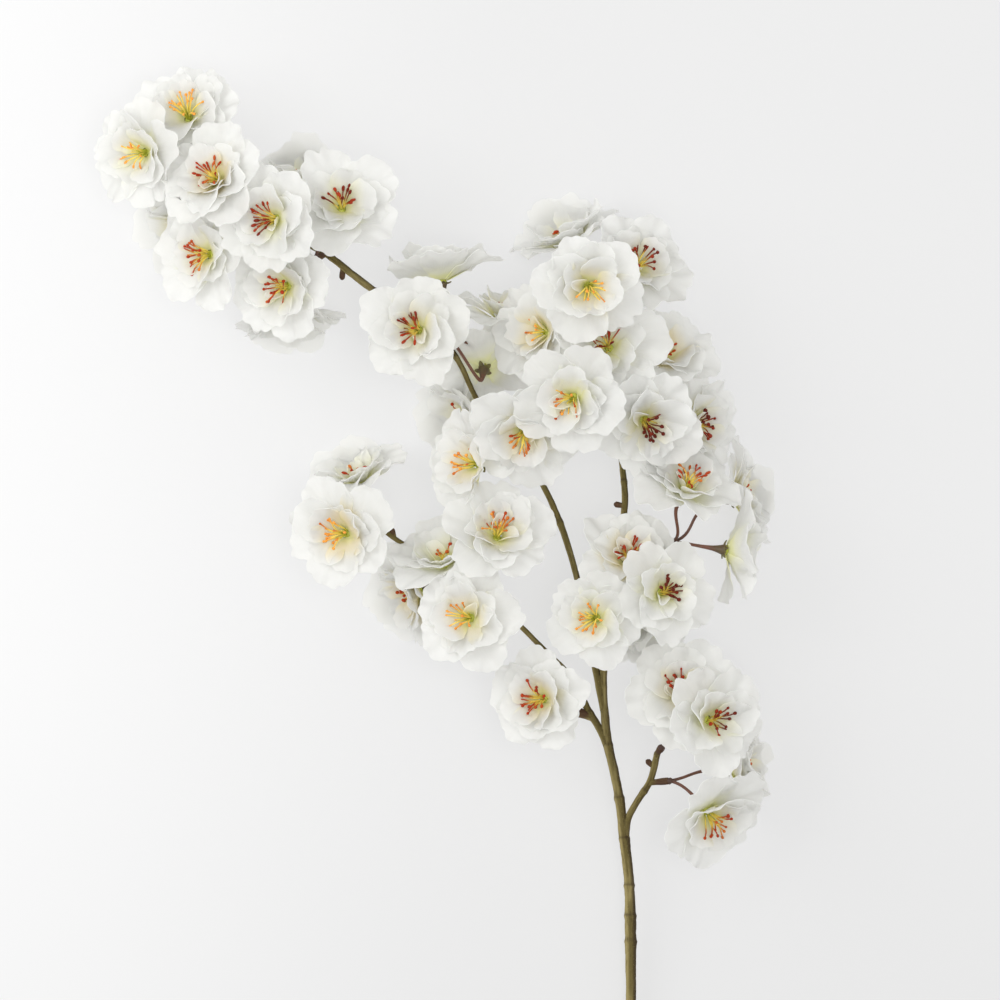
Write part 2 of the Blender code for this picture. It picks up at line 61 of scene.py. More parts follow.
# The solids' own sizes, from which each petal's bend is read
RING_INNER, RING_OUTER, RING_HEIGHT = 2.0 * MM, 3.3 * MM, 2.2 * MM
RING_SIDES = 5
SOLID_THICK = 0.7 * MM
OUTER_ROOT = (RING_OUTER * math.cos(math.pi / RING_SIDES), 0)  # from the axis and from the ring's middle
INNER_ROOT = ((RING_INNER + OUTER_ROOT[0]) / 2, RING_HEIGHT / 2)
INNER_TURN = 30.0
OUTER_CLAW, INNER_CLAW = RING_OUTER * math.sin(math.pi / RING_SIDES), 1.0 * MM
OUTER_LENGTH, OUTER_HALF_WIDTH = 26.0 * MM, 10.8 * MM
INNER_LENGTH, INNER_HALF_WIDTH = 18.0 * MM, 6.2 * MM
OUTER_RISE, INNER_RISE = (30.0, 4.0), (54.0, 28.0)
OUTER_TWIST, INNER_TWIST = 9.0, 16.0
OUTER_CUP, INNER_CUP = 0.22, 0.45
WIDEST, ROUND_END = 0.62, 1.02
AZIMUTH_VARY, TILT_VARY, TIP_VARY, TWIST_VARY = 2.0, 5.0, 7.0, 3.0
LENGTH_VARY, WIDTH_VARY = (0.94, 1.05), (0.97, 1.03)
CALYX_RADIUS, CALYX_LENGTH, CALYX_BELOW = 3.0 * MM, 8.0 * MM, 1.4 * MM
KNOB_RADIUS = 1.7 * MM
ALONG_SPUR, KNOB_REIN, CALYX_REIN = 1.5, 0.35, 0.4
BEND_STEPS = (0, 8, -8, 16, -16, 26, -26, 38, -38, 52, -52, 66)
STRETCH_STEPS = (1, 0.94, 0.87, 0.79, 0.7, 0.6, 0.5)
BENDS = list(itertools.product(BEND_STEPS, STRETCH_STEPS))
NEAR_TIP = 0.94
# The places on an outer and on an inner petal's solid, along and across, whose corners are looked for
READ_AT = np.array([(WIDEST, -1), (NEAR_TIP, -1), (NEAR_TIP, 1), (WIDEST, 1), (WIDEST, 0)])
READ_AT_INNER = np.array([(WIDEST, -1), (1.0, 0), (WIDEST, 1), (WIDEST, 0)])
MOST_MISS = 0.1 * MM  # by which a solid's corners may miss the bend that is read from them
LOWEST = 0.05 * MM  # the bark's height over the table where the cut end rests on it

# What a fine petal's form is drawn from, in shares of its length or width, degrees or mm
CLAW = 2.4 * MM  # half the width of its root
WIDEST_AT, ROUNDNESS, SHOULDER = (0.54, 0.64), (0.4, 0.47), 0.85
NOTCH_DEPTHS, NOTCH_PLACE, NOTCH_WIDTH = (0, 0, 0.04, 0.09), 0.3, 0.16
SIDES_BACK = (0.05, 0.1)
HUB = 0.3  # the place on its midrib that its rim's lobes and waves are round
RIM_POWER = 6  # how square the outline is that the rim's waves fade in along
LOBE_COUNTS = ((3.0, 0.4), (6.0, 0.38), (9.5, 0.22))  # how many, and their share of the depth
LOBE_VARY, LOBE_EDGE = (0.85, 1.15), 3
FOLD_COUNTS, FOLD_EDGE = ((2.2, 3.4), (3.5, 4.8)), 0.9
RUFFLE_COUNTS, RUFFLE_EDGE = ((6, 8), (8, 10)), 1.6
FRILL_COUNTS, FRILL_EDGE = ((11, 13), (13, 15)), 3
DENT_WAVES, DENT_STEPS = 4, (5, 9)
CURL, WARP, WARP_COUNTS, WARP_TURN = (-1.2, 1.6), 0.5, ((1, 1.4),), 6
MIDRIB_DEPTH, MIDRIB_WIDTH = 0.45, 0.12
TABLE_GAP, TABLE_STEP, TABLE_CLIMB = 0.1, 0.3, 0.12  # over the table, layer by layer

# How far fine petals stray from their solids, in degrees and shares. The outer ones stray less, but not
# those of a bloom that leans past sideways
SIDEWAYS, OUTER_EVENED = 85.0, 0.5
AZIMUTH_STRAY, LENGTH_STRAY, WIDTH_STRAY = 14, 0.12, 0.14
TIP_STRAY, TWIST_STRAY, INNER_OPENED = (-24, 9), (-0.6, 1.1), 6
# The petals between the two layers: how far apart their neighbours are at most, and their own form
MOST_APART = 95
BETWEEN_LENGTH, BETWEEN_WIDTH = (0.78, 0.92), (0.7, 0.85)
BETWEEN_ROOT, BETWEEN_TIP, BETWEEN_TWIST, BETWEEN_CUP = (6, 14), (4, 22), 14, (0.15, 0.5)
PETALOID_LENGTH, PETALOID_HALF_WIDTH, PETALOID_CUP = (9.5, 13), (3.0, 4.0), 0.9
PETALOID_RISE, PETALOID_FALL, PETALOID_TWIST = (58, 72), (8, 26), 20

# The sheets that petals are made from: the least half width in mm, and the faces across and along
SHEETS = ((11.5, 22, 19), (5, 15, 14), (0, 7, 9))
TINTS = (0.0, 0.0, 0.15, 0.3, 0.55)  # how warm a bloom's heart glows
REACH_UNIT = 10 * MM  # that the colours count the way from a petal's root in
WARM_GLOW, VEIN = (0.96, 0.82, 0.48, 1), (0.72, 0.74, 0.60, 1)

# What a stamen's form is drawn from, in degrees, mm and shares of its length
SPLAY, STAMEN_LENGTHS, STAMEN_ROOT = (12, 62), (0.7, 1.05), (0.3, 1.5)
STAMEN_REIN, STAMEN_START, STAMEN_END, STAMEN_BOW = (0.35, 0.7), 0.6, 0.3, 0.13
ANTHER_WIDE, ANTHER_DEEP = 1.1, 0.9
FILAMENT_SIDES, FILAMENT_STEPS = 5, 6
SHY_SHARE, SHY_SIZE = 2, 0.72  # a shy bloom has one stamen in so many, and smaller
CLUBS = (1.0, 1.5)
WARMTH_VARY, PLACE_VARY = (-0.2, 0.15), 0.35

# A pedicel's rings, and those of its calyx and of the dome of the receptacle over it
PEDICEL_RINGS, PEDICEL_SIDES = 14, 10
CALYX_RINGS, CALYX_FLARE, CALYX_RIBS = (0.2, 0.4, 0.6, 0.8, 0.92, 1.0), 1.5, 0.09
DOME = ((0.5, 2.5), (1.4, 2.2), (2.0, 1.6), (2.3, 0.7))  # height over the calyx and radius in mm
SEPALS, SEPAL_HALF_WIDTH, SEPAL_THICKNESS, SEPAL_RISE = 5, 1.5 * MM, 0.35 * MM, (4, 22)
SEPAL_SHEET = (4, 5)  # faces across and along
CALYX_END, SEPAL_TONE, HEART_TONE = 0.6, 0.97, 1.1  # places on the stalk's scale of colours

# Scars and rings of the bark, in mm along a limb, and how many sides the limbs' tubes have
FIRST_SCAR, NEXT_SCAR, LEAST_APART, CLEAR_END = (20, 35), (24, 44), 12, 6
STEM_SIDES, LIMB_SIDES, TWIG_SIDES = 16, 12, 10
SPUR_SHAPE = ((0.35, 1.0), (0.7, 1.2), (0.95, 1.15))  # places along a spur, and its thickness there
BUD_SHAPE = ((0.0, 1.0), (0.3, 1.1), (0.6, 1.25), (0.85, 1.2), (0.96, 0.95), (1.0, 0.5))
BUD_RADIUS, SPUR_DARK, BUD_DARK = 1.1, 0.8, 0.85

FLOOR_WIDTH = 8.0
VIEWED_HEIGHT = 45  # in mm over the floor, what the lamps and the camera aim at
# Each lamp's setting, width in metres and place seen from there
LAMPS = (("key", 0.9, (-0.75, 0.36, 0.85)), ("fill", 1.6, (0.45, -0.2, 4.7)))
SENSOR = 36
CREASE = 70  # degrees between two faces, from which an edge stays sharp


class Bloom(NamedTuple):
    """The throat's place in mm, how far the bloom leans from straight up and towards where, in degrees."""

    name: str
    spur: str
    x: float
    y: float
    z: float
    lean: float
    toward: float
    size: float = 1.0


class Petal(NamedTuple):
    azimuth: float
    length: float
    half_width: float
    root_rise: float
    tip_rise: float
    twist: float
    cup: float
    outer: bool


BLOOMS = (
    Bloom("a1", "tip", -155.5, 190.5, 42, 32, 112),
    Bloom("a2", "tip", -176.5, 173.5, 50, 35, 185),
    Bloom("a3", "tip", -140, 158.5, 68, 32, 140),
    Bloom("a4", "arch", -111, 139.5, 76, 24, 180),
    Bloom("a6", "arch", -144.5, 122.5, 52, 37, 182),
    Bloom("a9", "arch", -157.5, 139, 15, 68, 215),
    Bloom("a5", "bend", -79, 145, 60, 24, 83),
    Bloom("a7", "bend", -105.5, 106.5, 60, 28, 193),
    Bloom("a8", "bend", -100, 157.5, 14, 72, 95),
    Bloom("a10", "bend", -106, 98, 14, 75, 275),
    Bloom("b1", "elbow", -40.5, 84.5, 66, 10, 150),
    Bloom("b2", "elbow", -29.5, 110, 40, 97, 97),
    Bloom("b3", "elbow", -8, 66, 42, 145, 80),
    Bloom("b4", "elbow", 1, 90, 34, 76, 75, 0.9),
    Bloom("b5", "inner", 12, 35, 68, 30, 265),
    Bloom("b6", "inner", -11, 18, 57, 42, 175),
    Bloom("b7", "inner", -15, 44, 14, 66, 200),
    Bloom("c1", "crown", 67, 115, 60, 35, 52),
    Bloom("c2", "crown", 43.5, 106, 88, 6, 300),
    Bloom("c9", "crown", 36, 128.5, 14, 75, 115),
    Bloom("c3", "neck", 23, 83.5, 56, 40, 170),
    Bloom("c4", "neck", 54, 75.5, 72, 10, 120),
    Bloom("c8", "neck", 82, 70, 50, 48, 70),
    Bloom("c5", "shoulder", 36.5, 51, 82, 13, 207),
    Bloom("c6", "shoulder", 71.5, 40, 72, 18, 310),
    Bloom("c7", "shoulder", 94, 38, 45, 56, 0),
    Bloom("c11", "side", 91.5, 4, 62, 50, 65),
    Bloom("c12", "side", 117.5, 1, 16, 80, 15),
    Bloom("c13", "side", 113.5, -25, 52, 103, 352),
    Bloom("d1", "heart", 63.5, -31, 56, 32, 78, 0.9),
    Bloom("d2", "heart", 80, -46, 70, 20, 20, 0.88),
    Bloom("d3", "heart", 48, -58.5, 66, 12, 190, 0.88),
    Bloom("d4", "heart", 75, -58, 14, 75, 285),
    Bloom("e1", "low", 90.5, -97, 56, 12, 105),
    Bloom("e2", "low", 103, -109.5, 68, 28, 5),
    Bloom("e3", "hook", 116.5, -135, 16, 84, 5),
    Bloom("e4", "hook", 103.5, -156, 44, 45, 310),
    Bloom("f1", "left", -76.5, -16.5, 60, 25, 185),
    Bloom("f2", "left", -70, 8, 15, 70, 112),
    Bloom("f3", "middle", -1.5, -19, 66, 28, 78),
    Bloom("f4", "middle", -14.5, -58.5, 68, 18, 180),
    Bloom("f5", "middle", -27.5, -32, 50, 52, 108),
    Bloom("f6", "middle", -41, -46, 14, 68, 205),
    Bloom("f7", "stub", 22, -99, 62, 24, 187, 0.94),
)

# Each limb's route, from its root: x, y, z and radius in mm
LIMBS = {
    "stem": (
        (66.5, -322, 2.53, 2.8), (66.3, -290, 6, 2.7), (66, -250, 11, 2.6), (65.6, -209, 16, 2.75),
        (65, -193, 18, 2.5), (62.5, -170, 21, 2.6), (60, -150, 24, 2.35), (57.5, -137, 26, 2.3),
        (54.5, -124, 28, 2.2), (53, -112, 30, 2.1), (52, -100, 32, 2.0), (52, -82, 34, 1.8),
        (54, -60, 37, 1.7), (58, -35, 40, 1.6), (61, -15, 42, 1.6), (62.5, 0, 43, 1.6), (61.5, 14, 44, 1.5),
        (60, 27, 45, 1.4), (57, 45, 46, 1.3), (54, 70, 48, 1.2), (51, 95, 51, 1.1), (50, 106, 53, 1.0),
    ),
    "arch": (
        (52.5, -106, 31, 1.9), (50, -95, 33, 1.7), (47.5, -82, 34, 1.6), (44, -60, 37, 1.5),
        (38, -37, 40, 1.4), (31, -14, 43, 1.45), (20.5, 9, 45, 1.3), (10, 24, 45, 1.3), (-4, 38, 45, 1.25),
        (-13, 53, 45, 1.2), (-20, 68, 45, 1.2), (-29, 81, 45, 1.2), (-43, 92, 45, 1.3),
        (-60, 102.5, 46, 1.5), (-74, 113, 46, 1.6), (-87, 123, 45, 1.4), (-105, 132, 44, 1.1),
        (-125, 145, 43, 1.0), (-142, 158, 43, 0.9), (-152, 164, 43, 0.9),
    ),
    "left": (
        (55, -126, 27.5, 1.9), (50, -115, 29, 1.6), (44.5, -106, 30, 1.6), (40, -97, 31, 1.4),
        (33, -86, 32, 1.3), (24, -77, 33, 1.2), (11, -64, 34, 1.2), (0, -54, 34, 1.2), (-9, -45, 34, 1.3),
        (-16, -40, 34, 1.2), (-28, -34, 34, 1.1), (-38, -30, 35, 1.1), (-46, -24, 36, 1.2),
        (-56, -17, 38, 1.0),
    ),
    "right": (
        (62.8, -172, 21, 1.8), (64.5, -160, 23, 1.6), (68.5, -152, 25, 1.5), (75, -142, 27, 1.5),
        (79, -127, 30, 1.5),
    ),
    "side": ((60, -20, 41.5, 1.3), (70, -22, 41, 1.1), (79, -21, 41, 1.0)),
}

# Where each corymb's spur leaves its limb, the knob that it ends in, and its radius, in mm
SPURS = {
    "tip": ((-152, 164, 43), (-152, 169.5, 47.5), 0.9),
    "arch": ((-127, 146.5, 43), (-129.5, 141.5, 49), 1.0),
    "bend": ((-87, 123, 45), (-91.5, 121, 51), 1.4),
    "elbow": ((-29, 81, 45), (-26, 81, 51.5), 1.2),
    "inner": ((-4, 38, 45), (1.5, 42.5, 49), 1.2),
    "crown": ((50, 106, 53), (49, 111.5, 57), 1.0),
    "neck": ((54, 70, 48), (54, 72, 54.5), 1.2),
    "shoulder": ((57, 45, 46), (59, 45, 53), 1.2),
    "side": ((79, -21, 41), (86, -21, 42), 1.0),
    "heart": ((55.5, -50, 38.3), (59, -49.5, 45.5), 1.4),
    "low": ((79, -127, 30), (81, -124, 36), 1.5),
    "hook": ((75, -142, 27), (85, -141, 29), 1.4),
    "left": ((-56, -17, 38), (-61.5, -13.5, 40.5), 1.0),
    "middle": ((-18, -39, 34), (-20, -45, 39.5), 1.2),
    "stub": ((46, -109, 29.5), (37, -105.5, 33), 1.9),
}

# Buds that stand off the bark: root and tip, in mm
BUDS = (
    ((-78.5, 116.5, 45), (-79, 110, 45.5)),
    ((62, -3, 43), (57, -2, 44)),
    ((28.5, -8, 44), (24, -8, 45)),
    ((77, -134, 28), (73.5, -130.5, 29)),
    ((-53, -19, 37), (-54.5, -14, 38)),
)

# Rings left on the limbs by old bud scales: their heights in the tables, in mm
SCARS = {"stem": (-149.5, -170, -194.5, -209.5, -262), "right": (-146,)}

# How dark and red the stamens are, from 0 for orange to 1 for dark red
WARMTHS = {
    "a1": 0.0, "a2": 0.05, "a3": 0.5, "a4": 0.7, "a5": 0.75, "a6": 0.45, "a7": 0.5, "b1": 0.75, "b5": 0.35,
    "b6": 0.2, "c1": 0.8, "c2": 0.05, "c3": 0.15, "c4": 0.75, "c5": 0.25, "c6": 1.0, "c7": 0.9, "d1": 0.65,
    "d2": 1.0, "d3": 0.1, "e1": 0.7, "e2": 0.8, "f1": 0.2, "f3": 0.3, "f4": 0.2, "f7": 0.6,
}
USUAL_WARMTH = 0.45
# Blooms that face away or lie low, with few, short stamens among their petals
SHY = (
    "a8", "a9", "a10", "b2", "b3", "b4", "b7", "c3", "c8", "c9", "c12", "c13", "d4", "e3", "f2", "f5", "f6",
)


def size_prop(name, words, value):
    return bpy.props.FloatProperty(name=name, description=words, default=value, unit="LENGTH")


def number_prop(name, words, value):
    kind = bpy.props.IntProperty if isinstance(value, int) else bpy.props.FloatProperty
    return kind(name=name, description=words, default=value)


def colour_prop(name, words, value):
    kind = bpy.props.FloatVectorProperty
    return kind(name=name, description=words, default=value, subtype="COLOR", size=3)


class PetalSettings(bpy.types.PropertyGroup):
    outer_half_width: size_prop("Outer half width", "Half the width of an outer petal", 13.7 * MM)
    inner_half_width: size_prop("Inner half width", "Half the width of an inner petal", 9.8 * MM)
    longer: number_prop("Longer", "Petals' length, of the solids' own", 1.05)
    thickness: size_prop("Thickness", "Thickness of the petals", 0.3 * MM)
    fold: size_prop("Fold", "Height of the broad folds towards a petal's rim", 2.2 * MM)
    lobes: number_prop("Lobes", "Depth of the rim's lobes, of a petal's length", 0.085)
    ruffle: size_prop("Ruffle", "Height of the narrower ruffles of the rim", 1.4 * MM)
    frill: size_prop("Frill", "Height of the fine frill of the rim", 0.7 * MM)
    dents: size_prop("Dents", "Height of the soft dents all over a petal", 0.5 * MM)
    between: number_prop("Between", "Share of the gaps with a petal between", 0.6)
    petaloids: number_prop("Petaloids", "Most small petals at a heart", 2)
    thin: number_prop("Thin", "Share of the light that the blade lets through", 0.64)
    thin_root: number_prop("Thin root", "The same share at the root", 0.38)
    blade: colour_prop("Blade", "Colour of the blade", (0.955, 0.955, 0.942))
    glow: colour_prop("Glow", "Colour round the heart", (0.975, 0.97, 0.79))
    throat: colour_prop("Throat", "Colour at the root", (0.95, 0.95, 0.52))


class StamenSettings(bpy.types.PropertyGroup):
    fewest: number_prop("Fewest", "Fewest stamens in a bloom", 12)
    most: number_prop("Most", "Most stamens in a bloom", 16)
    length: size_prop("Length", "Length of a stamen", 14.0 * MM)
    filament: size_prop("Filament", "Radius of a filament", 0.32 * MM)
    anther: size_prop("Anther", "Half the width of an anther", 0.9 * MM)
    leaning: number_prop("Leaning", "How far the stamens lean to one side", 0.6)
    root: colour_prop("Root", "Colour of a filament's root", (0.50, 0.52, 0.05))
    middle: colour_prop("Middle", "Colour half way", (0.88, 0.70, 0.14))
    deep: colour_prop("Deep", "Colour of the darkest stamens' roots", (0.17, 0.19, 0.012))
    light: colour_prop("Light", "Colour of the lightest tips", (0.90, 0.38, 0.06))
    red: colour_prop("Red", "Colour of the red tips", (0.42, 0.036, 0.005))
    dark: colour_prop("Dark", "Colour of the darkest tips", (0.13, 0.012, 0.004))


class StalkSettings(bpy.types.PropertyGroup):
    pedicel: size_prop("Pedicel", "Radius of a pedicel", 0.72 * MM)
    sepal: size_prop("Sepal", "Length of a sepal", 2.6 * MM)
    knob: colour_prop("Knob", "Colour of the knob's scales", (0.070, 0.032, 0.020))
    stalk: colour_prop("Stalk", "Colour of a pedicel", (0.16, 0.060, 0.034))
    calyx: colour_prop("Calyx", "Colour of a calyx", (0.105, 0.070, 0.030))
    rim: colour_prop("Rim", "Colour at the calyx's rim", (0.20, 0.20, 0.05))
    heart: colour_prop("Heart", "Colour inside the petals' ring", (0.58, 0.62, 0.10))


class BarkSettings(bpy.types.PropertyGroup):
    ring_step: size_prop("Ring step", "Distance between the rings of a limb's mesh", 1.1 * MM)
    thicker: number_prop("Thicker", "Thickness of the limbs, of the solids' own", 1.12)
    # The pale colour below serves the bark's pale patches and specks, and also the painted light on one side
    # of each limb
    pale_and_lit: colour_prop("Lit", "Lightest colour of the bark", (0.36, 0.295, 0.125))
    body: colour_prop("Body", "Main colour of the bark", (0.125, 0.097, 0.030))
    # The dark colour below serves the bark's streaks and scars, and also the painted shade on the other side
    # of each limb
    dark: colour_prop("Dark", "Colour in its streaks and scars", (0.038, 0.024, 0.012))
    bud: colour_prop("Bud", "Colour of the buds and spurs", (0.080, 0.036, 0.026))
    cut: colour_prop("Cut", "Colour of the cut wood", (0.56, 0.47, 0.27))


class StageSettings(bpy.types.PropertyGroup):
    view_width: size_prop("View width", "Width of the view at the stem", 0.5)
    camera_height: size_prop("Camera height", "Height of the camera over the stem", 4.0)
    floor: colour_prop("Floor", "Colour of the floor", (0.23, 0.23, 0.23))
    glow: number_prop("Glow", "Light that the floor gives off", 0.687)
    key: number_prop("Key", "Power of the key light in watts", 6.0)
    fill: number_prop("Fill", "Power of the light from above in watts", 58.0)
    sky: number_prop("Sky", "Strength of the even light", 0.70)


SETTINGS = {
    "blossom_petals": PetalSettings,
    "blossom_stamens": StamenSettings,
    "blossom_stalks": StalkSettings,
    "blossom_bark": BarkSettings,
    "blossom_stage": StageSettings,
}


def unit(vector):
    return vector / np.linalg.norm(vector)


def place(x, y, z):
    """A point of the tables in the object's own frame."""
    return (np.array([x, y, z]) - MIDDLE) * MM


def axis_of(bloom):
    lean, toward = math.radians(bloom.lean), math.radians(bloom.toward)
    return np.array([math.sin(lean) * math.cos(toward), math.sin(lean) * math.sin(toward), math.cos(lean)])


def throat_of(bloom):
    return place(bloom.x, bloom.y, bloom.z)


def calyx_foot(bloom):
    return throat_of(bloom) - axis_of(bloom) * (CALYX_BELOW + CALYX_LENGTH)


def bloom_frame(bloom):
    """The throat, the axis and two sides of a bloom, the first square to its pedicel's own plane."""
    axis = axis_of(bloom)
    side = unit(np.cross(axis, calyx_foot(bloom) - place(*SPURS[bloom.spur][1])))
    return throat_of(bloom), axis, side, np.cross(axis, side)


def petals_of(bloom):
    """The bloom's ten petals, outer layer first, with the seeded draw that shaped their solids."""
    draw = random.Random(f"{bloom.name} petals")
    found = []
    for outer in (True, False):
        length, half_width = (OUTER_LENGTH, OUTER_HALF_WIDTH) if outer else (INNER_LENGTH, INNER_HALF_WIDTH)
        rise = OUTER_RISE if outer else INNER_RISE
        turn, twist, cup = (0, OUTER_TWIST, OUTER_CUP) if outer else (INNER_TURN, INNER_TWIST, INNER_CUP)
        for i in range(RING_SIDES):
            tilt = draw.uniform(-TILT_VARY, TILT_VARY)
            azimuth = 360 * (i + 0.5) / RING_SIDES + turn + draw.uniform(-AZIMUTH_VARY, AZIMUTH_VARY)
            found.append(
                Petal(
                    azimuth=math.radians(azimuth),
                    length=length * bloom.size * draw.uniform(*LENGTH_VARY),
                    half_width=half_width * bloom.size * draw.uniform(*WIDTH_VARY),
                    root_rise=rise[0] + tilt,
                    tip_rise=rise[1] + tilt + draw.uniform(-TIP_VARY, TIP_VARY),
                    twist=math.radians(twist + draw.uniform(-TWIST_VARY, TWIST_VARY)),
                    cup=cup,
                    outer=outer,
                )
            )
    return found


def half_width_at(petal, along):
    """From the root's own width, a petal widens and then comes round to its tip."""
    root = OUTER_CLAW if petal.outer else INNER_CLAW
    opening = root + (petal.half_width - root) * np.sin(np.pi / 2 * np.minimum(along, WIDEST) / WIDEST)
    past = np.clip((along - WIDEST) / (ROUND_END - WIDEST), 0, 1)
    return opening * np.sqrt(1 - past**2)


def petal_points(place_of, petal, along, sideways, bend, stretch, lift=0.0):
    """Points of a petal's middle surface: its midrib is an arc, and its sides cup and twist. Lift is added
    across the surface."""
    throat, axis, side, other = place_of
    start = math.radians(petal.root_rise + 0.5 * bend)
    end = math.radians(petal.tip_rise + bend)
    turned = start + (end - start) * along
    length = petal.length * stretch
    root_reach, root_rise = OUTER_ROOT if petal.outer else INNER_ROOT
    reach = root_reach + length * (np.sin(turned) - math.sin(start)) / (end - start)
    rise = root_rise + length * (math.cos(start) - np.cos(turned)) / (end - start)
    sideways = sideways * min(1, stretch + 0.1)
    off = petal.cup * sideways**2 / petal.half_width + sideways * math.tan(petal.twist) + lift
    outward = math.cos(petal.azimuth) * side + math.sin(petal.azimuth) * other
    tangent = np.cross(axis, outward)
    points = throat + np.multiply.outer(reach - np.sin(turned) * off, outward)
    points += np.multiply.outer(rise + np.cos(turned) * off, axis)
    return points + np.multiply.outer(sideways, tangent)


def laid(points, axis, lowest, climb=0.0):
    """What would go under the table lies along it, towards where the bloom faces. Climb is how much higher
    it then lies for each metre that it would go under."""
    under = np.maximum(lowest - points[..., 2], 0)
    facing = unit(np.array([axis[0], axis[1], 0.0])) + np.array([0.0, 0.0, 1.0 + climb])
    return points + np.multiply.outer(under, facing)


def corners_of(bloom):
    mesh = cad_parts[f"bloom_{bloom.name}"].data
    flat = np.empty(len(mesh.vertices) * 3)
    mesh.vertices.foreach_get("co", flat)
    return np.unique(flat.reshape(-1, 3).round(7), axis=0)


def read_bends(bloom):
    """Each petal of the solid with its bend and shortening, read off the solid's corners. One that the
    solid does without is left out."""
    corners = corners_of(bloom)
    place_of = bloom_frame(bloom)
    found = []
    for petal in petals_of(bloom):
        along, across = (READ_AT if petal.outer else READ_AT_INNER).T
        sideways = across * half_width_at(petal, along)
        misses = []
        for bend, stretch in BENDS:
            points = petal_points(place_of, petal, along, sideways, bend, stretch)
            points = laid(points, place_of[1], SOLID_THICK / 2)
            gaps = np.linalg.norm(corners[:, None] - points, axis=2).min(axis=0)
            misses.append(np.abs(gaps - SOLID_THICK / 2).mean())
        best = int(np.argmin(misses))
        if misses[best] < MOST_MISS:
            found.append((petal, *BENDS[best]))
    return found


def only(obj):
    """Selects this object and nothing else."""
    bpy.ops.object.select_all(action="DESELECT")
    obj.select_set(True)
    bpy.context.view_layer.objects.active = obj


def pattern_of(obj):
    """The points, faces and UVs of a modelled piece, which is then removed."""
    mesh = obj.data
    points = np.array([vertex.co[:] for vertex in mesh.vertices])
    faces = [tuple(face.vertices) for face in mesh.polygons]
    uvs = [tuple(entry.uv) for entry in mesh.uv_layers.active.data]
    bpy.data.objects.remove(obj)
    return points, faces, uvs


def sheet_pattern(across, along):
    """A flat sheet, -1 to 1 across in X, and 0 at its root to 1 at its tip in Y."""
    bpy.ops.object.select_all(action="DESELECT")
    bpy.ops.mesh.primitive_grid_add(x_subdivisions=across, y_subdivisions=along, size=2)
    points, faces, uvs = pattern_of(bpy.context.object)
    points[:, 1] = (points[:, 1] + 1) / 2
    return points, faces, uvs


def gather(name, parts, finish, values):
    """One mesh object from patterns, each with its own points. Values are named lists of one number a part,
    or one a point, kept as attributes."""
    points, faces, uvs, kept = [], [], [], {key: [] for key in values}
    for number, ((_, pattern_faces, pattern_uvs), shaped) in enumerate(parts):
        start = len(points)
        points += [tuple(point) for point in shaped]
        faces += [tuple(start + corner for corner in face) for face in pattern_faces]
        uvs += pattern_uvs
        for key, entries in values.items():
            kept[key] += list(np.broadcast_to(entries[number], len(shaped)))
    mesh = bpy.data.meshes.new(name)
    mesh.from_pydata(points, [], faces)
    mesh.uv_layers.new(name="UVMap").data.foreach_set("uv", np.array(uvs).ravel())
    for key, entries in kept.items():
        mesh.attributes.new(key, "FLOAT", "POINT").data.foreach_set("value", np.array(entries, np.float32))
    mesh.materials.append(finish)
    obj = bpy.data.objects.new(name, mesh)
    bpy.context.scene.collection.objects.link(obj)
    return obj


def thicken(obj, thickness):
    """A Solidify modifier, applied: half of the thickness on either side."""
    only(obj)
    wall = obj.modifiers.new("wall", "SOLIDIFY")
    wall.thickness = thickness
    wall.offset = 0
    bpy.ops.object.modifier_apply(modifier=wall.name)


def finish_piece(obj, slot, *nodes):
    """Smooths a piece up to its creases, and says its body and the nodes that it replaces. Slot is not used.
    """
    only(obj)
    bpy.ops.object.shade_smooth_by_angle(angle=math.radians(CREASE))
    obj.select_set(False)
    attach(obj, BODY)
    if nodes:
        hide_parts(*nodes)


def tube(centres, radii, sides, side_hint, lumps):
    """Rings round a line, turned as little as can be from one to the next: points, faces and UVs, with both
    ends closed by a fan. Lumps scale each ring's radius round its way."""
    count = len(centres)
    ahead = np.gradient(centres, axis=0)
    side = np.array(side_hint, float)
    turn = 2 * np.pi * np.arange(sides) / sides
    points = np.empty((count, sides, 3))
    for i in range(count):
        along = unit(ahead[i])
        side = unit(side - side.dot(along) * along)
        ring = np.outer(np.cos(turn), side) + np.outer(np.sin(turn), np.cross(along, side))
        points[i] = centres[i] + ring * (radii[i] * lumps[i])[:, None]
    faces = []
    for i in range(count - 1):
        for j in range(sides):
            k = (j + 1) % sides
            faces.append((i * sides + j, i * sides + k, (i + 1) * sides + k, (i + 1) * sides + j))
    flat = np.vstack([points.reshape(-1, 3), centres[:1], centres[-1:]])
    low, high = count * sides, count * sides + 1
    last = (count - 1) * sides
    faces += [(low, (j + 1) % sides, j) for j in range(sides)]
    faces += [(high, last + j, last + (j + 1) % sides) for j in range(sides)]
    uvs = [(0.0, 0.0)] * sum(len(face) for face in faces)
    return flat, faces, uvs


def per_point(ring_values, sides):
    """One value a ring of a tube, given to each of its points and to the two ends' middles."""
    return np.concatenate([np.repeat(ring_values, sides), ring_values[:1], ring_values[-1:]])


def smooth_route(rows, step):
    """Places and radii every step along a smooth curve through a limb's rows."""
    rows = np.array([(*place(x, y, z), radius * MM) for x, y, z, radius in rows])
    ends = np.concatenate([[0], np.cumsum(np.linalg.norm(np.diff(rows[:, :3], axis=0), axis=1))])
    slopes = np.gradient(rows, ends, axis=0)
    at = np.linspace(0, ends[-1], max(3, round(ends[-1] / step) + 1))
    i = np.clip(np.searchsorted(ends, at, side="right") - 1, 0, len(ends) - 2)
    span = (ends[i + 1] - ends[i])[:, None]
    t = (at - ends[i])[:, None] / span
    curve = (2 * t**3 - 3 * t**2 + 1) * rows[i] + (t**3 - 2 * t**2 + t) * span * slopes[i]
    curve += (3 * t**2 - 2 * t**3) * rows[i + 1] + (t**3 - t**2) * span * slopes[i + 1]
    return curve[:, :3], curve[:, 3], at


